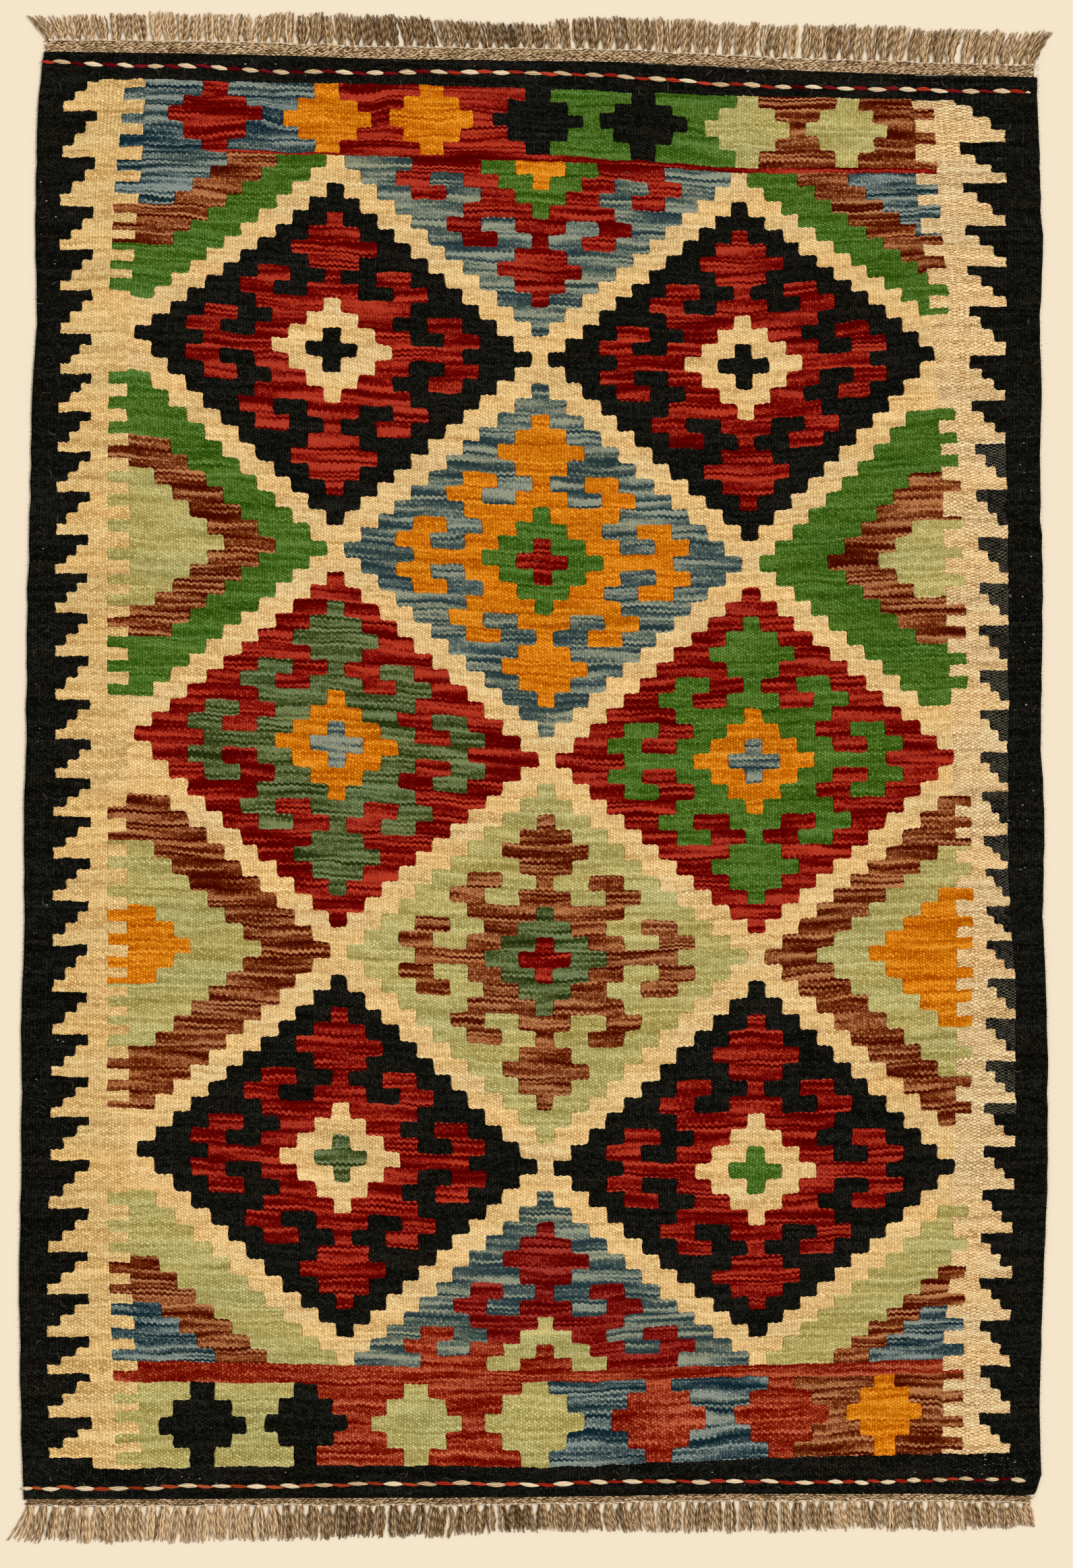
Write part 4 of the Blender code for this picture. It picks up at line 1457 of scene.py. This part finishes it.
def fringe_yarn_place(end, chance, across, within, tassel, length):
    """How one yarn of a tassel is bent: a tassel has its own spread and lean."""
    root_height = knot_height(end, across)
    root_x = across_place(across, root_height - SHIFT_Y)
    shift = within / WIDTH * tassel.spread
    lean = lean_at(end, across + shift) + tassel.lean + chance.gauss(0.0, CROSSING)
    phase, waves = chance.uniform(0.0, 2.0 * math.pi), length / CRINKLE_LENGTH * chance.uniform(0.8, 1.25)
    crinkle, bow = CRINKLE * chance.uniform(0.4, 1.6), chance.gauss(0.0, YARN_BOW)
    layer, width = chance.choice(LAYERS), YARN_WIDTH * chance.uniform(0.75, 1.2)

    def place(point):
        share = point.z
        spread = lerp(ROOT_SPREAD, tassel.spread, smooth(share / FAN_SHARE))
        side = within * spread + lean * share ** 1.5 + (bow + tassel.bow) * math.sin(math.pi * share)
        side += crinkle * math.sin(phase + 2.0 * math.pi * waves * share) * min(share * 6.0, 1.0)
        out = length * share + 0.3 * crinkle * math.cos(phase + 4.0 * math.pi * waves * share)
        thin = 1.0 - 0.6 * smooth((share - 0.75) / 0.25)
        rise = lerp(layer, 0.7 * layer, share) * lerp(0.8, 1.0, smooth(share * 4.0))
        return Vector((
            root_x + side + point.x * width * thin,
            root_height + end.out * (out - TUCKED),
            rise + point.y * YARN_THICKNESS * thin,
        ))

    return place


# %% Fringes
YARN_RAGGED = 2.6          # how far a yarn is cut long or short
TASSEL_RAGGED = 1.6        # and a whole tassel
TASSEL_LEAN = 1.1          # how far most tassels lean from their neighbours
LOOSE_FROM = 0.87          # share of the width past which the upper tassels have come loose
LOOSE = 1.9                # how much more they stray
TASSEL_TONE, YARN_TONE = 0.07, 0.17    # how far their shades differ


def make_fringe(end):
    """All tassels of one end, with their yarns in mixed order."""
    chance = random.Random(41 + end.out)
    copies = []
    for index in range(TASSELS):
        across = (index + 0.5) / TASSELS
        loose = LOOSE if end is TOP and across > LOOSE_FROM else 1.0
        tassel = Tassel(
            spread=chance.uniform(*TASSEL_SPREAD),
            lean=chance.gauss(0.0, TASSEL_LEAN) * loose,
            bow=chance.gauss(0.0, TASSEL_BOW) * loose,
            ragged=chance.uniform(-TASSEL_RAGGED, TASSEL_RAGGED),
            tone=along(FRINGE_SHADES, across, "tone") + chance.uniform(-TASSEL_TONE, TASSEL_TONE),
        )
        for yarn_index in range(YARNS_PER_TASSEL):
            within = (yarn_index + 0.5) / YARNS_PER_TASSEL - 0.5
            tips = at_end(end.stations, across, "tips") + SHIFT_Y
            length = abs(tips - knot_height(end, across)) + tassel.ragged
            length += chance.uniform(-1.0, 0.6) * YARN_RAGGED
            place = fringe_yarn_place(end, chance, across, within, tassel, length)
            copies.append(Copy(place, clamp(chance.gauss(tassel.tone, YARN_TONE))))
    chance.shuffle(copies)
    piece = strew("knotted_fringe_" + end.name, fringe_yarn, copies, [warp_wool])
    dress(piece, end.fringe)
    return piece


fringes = [make_fringe(TOP), make_fringe(BOTTOM)]

# %% [markdown]
# ## Knots and their thread
# A knot is a small flattened ring of pale yarn, turned its own way, and the thread dips a little
# between knots.

# %% Knots
KNOT_WIDE, KNOT_DEEP, KNOT_TALL = 3.6, 2.6, 1.5
KNOT_RISE = 2.15           # height of a knot's middle
LEAST_KNOT, MOST_KNOT = 0.7, 1.15      # of that width and depth
KNOT_TURN = 0.5            # the most that one is turned, in radians
THREAD_WIDTH = 0.7
THREAD_DROP = 0.2          # how much lower than the knots' middles it runs
bpy.ops.object.select_all(action="DESELECT")
bpy.ops.mesh.primitive_torus_add(major_segments=10, minor_segments=5, major_radius=0.28, minor_radius=0.24)
ring = bpy.context.object
knot_template = ring.data
bpy.data.objects.remove(ring)
thread_template = yarn_template("thread", 4, 5)


def make_knots(end):
    """The knots of one end and the thread from knot to knot."""
    chance = random.Random(59 + end.out)
    knots, links, points = [], [], []
    for tassel in range(TASSELS):
        across = (tassel + 0.5 + chance.uniform(-0.12, 0.12)) / TASSELS
        height = knot_height(end, across) + chance.uniform(-0.8, 0.8)
        points.append(Vector((across_place(across, height - SHIFT_Y), height, KNOT_RISE)))
    for middle in points:
        turn = chance.uniform(-KNOT_TURN, KNOT_TURN)
        wide = KNOT_WIDE * chance.uniform(LEAST_KNOT, MOST_KNOT)
        deep = KNOT_DEEP * chance.uniform(LEAST_KNOT, MOST_KNOT)

        def place_knot(point, middle=middle, turn=turn, wide=wide, deep=deep):
            x, y = point.x * wide, point.y * deep
            return middle + Vector((
                x * math.cos(turn) - y * math.sin(turn),
                x * math.sin(turn) + y * math.cos(turn),
                point.z * KNOT_TALL * 2.0 + 0.15 * x,
            ))

        knots.append(Copy(place_knot, chance.random()))
    for before, after in zip(points, points[1:]):
        dip = chance.uniform(-0.6, 0.9) * end.out

        def place_link(point, before=before, after=after, dip=dip):
            middle = before.lerp(after, point.z)
            sag = dip * math.sin(math.pi * point.z)
            return middle + Vector((0.0, point.x * THREAD_WIDTH - sag, point.y * THREAD_WIDTH - THREAD_DROP))

        links.append(Copy(place_link, chance.random()))
    ring_piece = strew("fringe_knots_" + end.name, knot_template, knots, [binding_thread])
    thread_piece = strew("binding_thread_" + end.name, thread_template, links, [binding_thread])
    for piece in (ring_piece, thread_piece):
        dress(piece, end.fringe)


for end in (TOP, BOTTOM):
    make_knots(end)

# %% [markdown]
# ## The twined lines
# Two yarns are twisted round each other across each black band, so that they come up in turn as
# fat leaning grains with pointed ends: off-white, then red. One grain is modelled from a sphere,
# with the grooves of its three plies, and the rest are copies in four wools.

# %% Twined grains
GRAIN_WIDTH = 5.0
GRAIN_HEIGHT = 2.3
GRAIN_OVERLAP = 1.2        # length of a grain over the step to the next one
GRAIN_TILT = -0.06         # its left end lies higher than its right one
FULL_STEP = 12.0           # a grain over a shorter step is thinner
SLOPE_REACH = 0.02         # how far to each side the line's slope is taken, as a share of the width
RED_PLUMP = 0.8            # width of a red grain over an off-white one
PLY_GROOVE = 0.09
PLY_TWIST = 1.6
POINTED = 0.22             # a low power keeps the grain fat almost to its ends
PLIES = 3
bpy.ops.object.select_all(action="DESELECT")
bpy.ops.mesh.primitive_uv_sphere_add(segments=18, ring_count=14, radius=1.0)
grain = bpy.context.object
for vert in grain.data.vertices:
    angle = math.atan2(vert.co.y, vert.co.x) + PLY_TWIST * vert.co.z
    pointed = (1.0 - abs(vert.co.z)) ** POINTED
    groove = 1.0 - PLY_GROOVE * (1.0 + math.cos(PLIES * 2.0 * angle)) * pointed
    vert.co.x *= groove * pointed
    vert.co.y *= groove * pointed
grain_template = grain.data
bpy.data.objects.remove(grain)

twined_wools = [
    yarn("twined_offwhite", (162, 124, 84), (226, 196, 152), (250, 228, 192), plies=6, turns=2, groove_shade=0.28),
    yarn("twined_crimson", (48, 2, 6), (98, 8, 16), (140, 32, 36), plies=6, turns=2, groove_shade=0.25),
    yarn("twined_red", (100, 12, 4), (168, 40, 22), (212, 84, 58), plies=6, turns=2, groove_shade=0.25),
    yarn("twined_rust", (100, 28, 10), (164, 58, 24), (204, 104, 60), plies=6, turns=2, groove_shade=0.25),
]
OFF_WHITE, CRIMSON, RED, RUST = range(4)
TOP_RED_FROM, TOP_RED_TO = 0.39, 0.76      # where the upper line's reds are bright
TOP_REDS = (0, 56, 62)                     # and its bright red grains outside that stretch
BOTTOM_RUST_TO, BOTTOM_CRIMSON_FROM = 0.4, 0.94


def grain_wool(end, index, across):
    """Which yarn comes up as this grain, counted from the left."""
    if end is TOP:
        if index % 2:
            return OFF_WHITE
        return RED if TOP_RED_FROM < across < TOP_RED_TO or index in TOP_REDS else CRIMSON
    if index % 2 == 0:
        return OFF_WHITE
    if across < BOTTOM_RUST_TO:
        return RUST
    return CRIMSON if across > BOTTOM_CRIMSON_FROM else RED


def line_slope(end, across):
    """How steeply the twined line runs at a share of the width."""
    before, after = across - SLOPE_REACH, across + SLOPE_REACH
    rise = at_end(end.stations, after, "line") - at_end(end.stations, before, "line")
    return rise / ((after - before) * WIDTH)


def make_twined_line(end):
    """One grain for each wrap of the line, in the wool that comes up there."""
    chance = random.Random(71 + end.out)
    copies = []
    for index in range(end.wraps[0].index):
        step = along(end.wraps, index + 1, "x") - along(end.wraps, index, "x")
        x = along(end.wraps, index + 0.5, "x") + chance.uniform(-0.06, 0.06) * step
        across = (x + WIDTH / 2.0) / WIDTH
        height = at_end(end.stations, across, "line") + SHIFT_Y + chance.uniform(-0.7, 0.7)
        pick = grain_wool(end, index, across)
        plump = 1.0 if pick == OFF_WHITE else RED_PLUMP
        length = max(step, GRAIN_WIDTH) * GRAIN_OVERLAP * chance.uniform(0.92, 1.08)
        width = GRAIN_WIDTH * plump * chance.uniform(0.85, 1.12) * min(step / FULL_STEP, 1.0) ** 0.5
        tilt = line_slope(end, across) + GRAIN_TILT + chance.uniform(-0.07, 0.07)
        bend, roll = chance.uniform(-0.5, 0.7), chance.uniform(0.0, math.pi)
        middle = Vector((x + SHIFT_X, height, CLOTH_THICKNESS + 0.55 * plump))

        def place(point, middle=middle, length=length, width=width, tilt=tilt, bend=bend, roll=roll):
            side = point.x * math.cos(roll) - point.y * math.sin(roll)
            lift = point.x * math.sin(roll) + point.y * math.cos(roll)
            aside = point.z * length / 2.0
            return middle + Vector((
                aside - 0.35 * side * point.z,
                aside * tilt + side * width / 2.0 + bend * (1.0 - point.z ** 2),
                lift * GRAIN_HEIGHT / 2.0 - 0.5 * point.z ** 2,
            ))

        copies.append(Copy(place, chance.random(), pick))
    piece = strew("twined_yarns_" + end.name, grain_template, copies, twined_wools)
    dress(piece, end.line)


for end in (TOP, BOTTOM):
    make_twined_line(end)

# %% [markdown]
# ## Loose fibres
# Wool sheds. Pale curved hairs lie all over the cloth, most of them by the twined lines, and show
# against the black. The selvedges are fuzzy with short hairs, and here and there a pale warp
# peeps through the black.

# %% Hairs, fuzz and specks
HAIR_WIDTH, FUZZ_WIDTH = 0.22, 0.3
HAIR_LENGTHS, FUZZ_LENGTHS = (4.0, 11.0), (2.0, 4.6)
HAIR_CURL = 0.8            # how far a hair bends to either side
HAIR_LIFT = 0.4            # and how high it arches
FUZZ_TURN = 0.9            # how far a selvedge's hairs are turned from straight out
Strewn = namedtuple("Strewn", "count left right low high")
HAIR_PLACES = (
    Strewn(count=150, left=-490, right=490, low=-690, high=690),
    Strewn(count=70, left=-480, right=485, low=670, high=706),
    Strewn(count=60, left=-480, right=480, low=-700, high=-672),
    Strewn(count=45, left=-492, right=-440, low=-650, high=650),
    Strewn(count=45, left=440, right=490, low=-650, high=650),
)
SPECK_PLACES = (
    Strewn(count=26, left=436, right=478, low=-690, high=-660),
    Strewn(count=34, left=455, right=488, low=-160, high=340),
    Strewn(count=22, left=-488, right=-450, low=-600, high=600),
    Strewn(count=16, left=-480, right=480, low=-690, high=-676),
    Strewn(count=10, left=-480, right=480, low=690, high=700),
)
FUZZ_STEP = 2.4            # between two hairs of a selvedge
hair_template = yarn_template("hair", 3, 5)
speck_template = yarn_template("speck", 5, 2)
hair_wool = yarn("loose_hair", (120, 100, 78), (176, 154, 126), (226, 208, 180), plies=1, turns=1)
fuzz_wool = yarn("selvedge_fuzz", (30, 27, 23), (78, 68, 56), (176, 156, 130), plies=1, turns=1)
speck_wool = yarn("peeping_warp", (120, 110, 98), (176, 166, 150), (226, 218, 204), plies=1, turns=1)


def hair(middle, length, turn, curl, lift, width):
    """A curved hair that lies on what is under it."""
    def place(point):
        reach = (point.z - 0.5) * length
        bow = curl * length * (0.25 - (point.z - 0.5) ** 2) * 2.0
        thin = width * (1.0 - 1.2 * abs(point.z - 0.5))
        x = reach * math.cos(turn) - bow * math.sin(turn)
        y = reach * math.sin(turn) + bow * math.cos(turn)
        side = Vector((-math.sin(turn), math.cos(turn), 0.0)) * point.x * thin
        return middle + side + Vector((x, y, point.y * thin + lift * math.sin(math.pi * point.z)))

    return place


def make_hairs():
    """Loose hairs all over the cloth."""
    chance = random.Random(83)
    copies = []
    for place in HAIR_PLACES:
        for _ in range(place.count):
            x, y = chance.uniform(place.left, place.right), chance.uniform(place.low, place.high)
            middle = Vector((x + SHIFT_X, y + SHIFT_Y, CLOTH_THICKNESS + 0.15))
            turn, length = chance.uniform(0.0, math.pi), chance.uniform(*HAIR_LENGTHS)
            curl = chance.uniform(-HAIR_CURL, HAIR_CURL)
            copies.append(Copy(hair(middle, length, turn, curl, HAIR_LIFT, HAIR_WIDTH), chance.random()))
    return strew("loose_hairs", hair_template, copies, [hair_wool])


def make_fuzz():
    """Short hairs that stand out from both selvedges."""
    chance = random.Random(97)
    copies = []
    low, high = SELVEDGES[-1].height, SELVEDGES[0].height
    for side, column in ((-1.0, "left"), (1.0, "right")):
        height = low + 2.0
        while height < high - 2.0:
            x = along(SELVEDGES, height, column) + SHIFT_X + side * 0.1
            turn = side * chance.uniform(-FUZZ_TURN, FUZZ_TURN)
            middle = Vector((x, height + SHIFT_Y, chance.uniform(0.7, 1.9)))
            length, curl = chance.uniform(*FUZZ_LENGTHS), chance.uniform(-HAIR_CURL, HAIR_CURL)
            copies.append(Copy(hair(middle, length, turn, curl, 0.0, FUZZ_WIDTH), chance.random()))
            height += FUZZ_STEP * chance.uniform(0.4, 1.6)
    return strew("selvedge_fuzz", hair_template, copies, [fuzz_wool])


def make_specks():
    """Pale warps that peep through the black in small specks."""
    chance = random.Random(101)
    copies = []
    for place in SPECK_PLACES:
        for _ in range(place.count):
            x, y = chance.uniform(place.left, place.right), chance.uniform(place.low, place.high)
            middle = Vector((x + SHIFT_X, y + SHIFT_Y, CLOTH_THICKNESS - 0.1))
            wide = chance.uniform(0.7, 1.4)

            def place_speck(point, middle=middle, wide=wide):
                share = point.z - 0.5
                fat = wide * (1.0 - 2.4 * share * share)
                return middle + Vector((share * wide * 1.5, point.x * fat, point.y * 0.5))

            copies.append(Copy(place_speck, chance.random()))
    return strew("peeping_warps", speck_template, copies, [speck_wool])


for piece in (make_hairs(), make_fuzz(), make_specks()):
    dress(piece, "kilim_cloth")

# %% [markdown]
# ## Floor, light and camera
# The rug lies on a pale floor and is seen from straight above through a long lens. The light
# comes from the right, so a thin soft shadow lies along the rug's left side.

# %% Floor
FLOOR_SIZE, FLOOR_GAP = 12.0, 0.0003       # both in metres
FLOOR_SHADE = (247, 231, 204)
bpy.ops.object.select_all(action="DESELECT")
bpy.ops.mesh.primitive_plane_add(size=FLOOR_SIZE, location=(0.0, 0.0, -FLOOR_GAP))
floor = bpy.context.object
floor.name = "floor"
floor_finish = bpy.data.materials.new("pale_floor")
floor_finish.use_nodes = True
floor_shader = floor_finish.node_tree.nodes["Principled BSDF"]
floor_shader.inputs["Base Color"].default_value = linear(FLOOR_SHADE)
floor_shader.inputs["Roughness"].default_value = 1.0
floor_shader.inputs["Specular IOR Level"].default_value = 0.0
floor.data.materials.append(floor_finish)

# %% Light
SKY_STRENGTH, SUN_STRENGTH = 0.60, 1.75
SUN_TILT, SUN_LEAN, SUN_SOFTNESS = math.radians(-14.0), math.radians(44.0), math.radians(18.0)
world = bpy.data.worlds.new("studio")
bpy.context.scene.world = world
world.use_nodes = True
sky = world.node_tree.nodes["Background"]
sky.inputs["Color"].default_value = (1.0, 1.0, 1.0, 1.0)
sky.inputs["Strength"].default_value = SKY_STRENGTH
bpy.ops.object.light_add(type="SUN", rotation=(SUN_TILT, SUN_LEAN, 0.0))
sun = bpy.context.object
sun.name = "soft_key"
sun.data.energy = SUN_STRENGTH
sun.data.angle = SUN_SOFTNESS
bpy.context.scene.view_settings.view_transform = "Standard"

# %% Camera
FRAME_PIXELS = (1591, 2324)
MM_PER_PIXEL = 0.66
MIDDLE_PIXEL = (793.0, 1154.5)         # where the tables' own middle lies in the picture
LENS, SENSOR = 90.0, 36.0
frame_height = FRAME_PIXELS[1] * MM_PER_PIXEL * MM
centre_x = ((FRAME_PIXELS[0] / 2.0 - MIDDLE_PIXEL[0]) * MM_PER_PIXEL + SHIFT_X) * MM
centre_y = ((MIDDLE_PIXEL[1] - FRAME_PIXELS[1] / 2.0) * MM_PER_PIXEL + SHIFT_Y) * MM
camera_height = frame_height * LENS / SENSOR
bpy.ops.object.camera_add(location=(centre_x, centre_y, camera_height), rotation=(0.0, 0.0, 0.0))
camera = bpy.context.object
camera.data.lens = LENS
camera.data.sensor_width = SENSOR
bpy.context.scene.camera = camera
print("camera height, m", round(camera.location.z, 3))
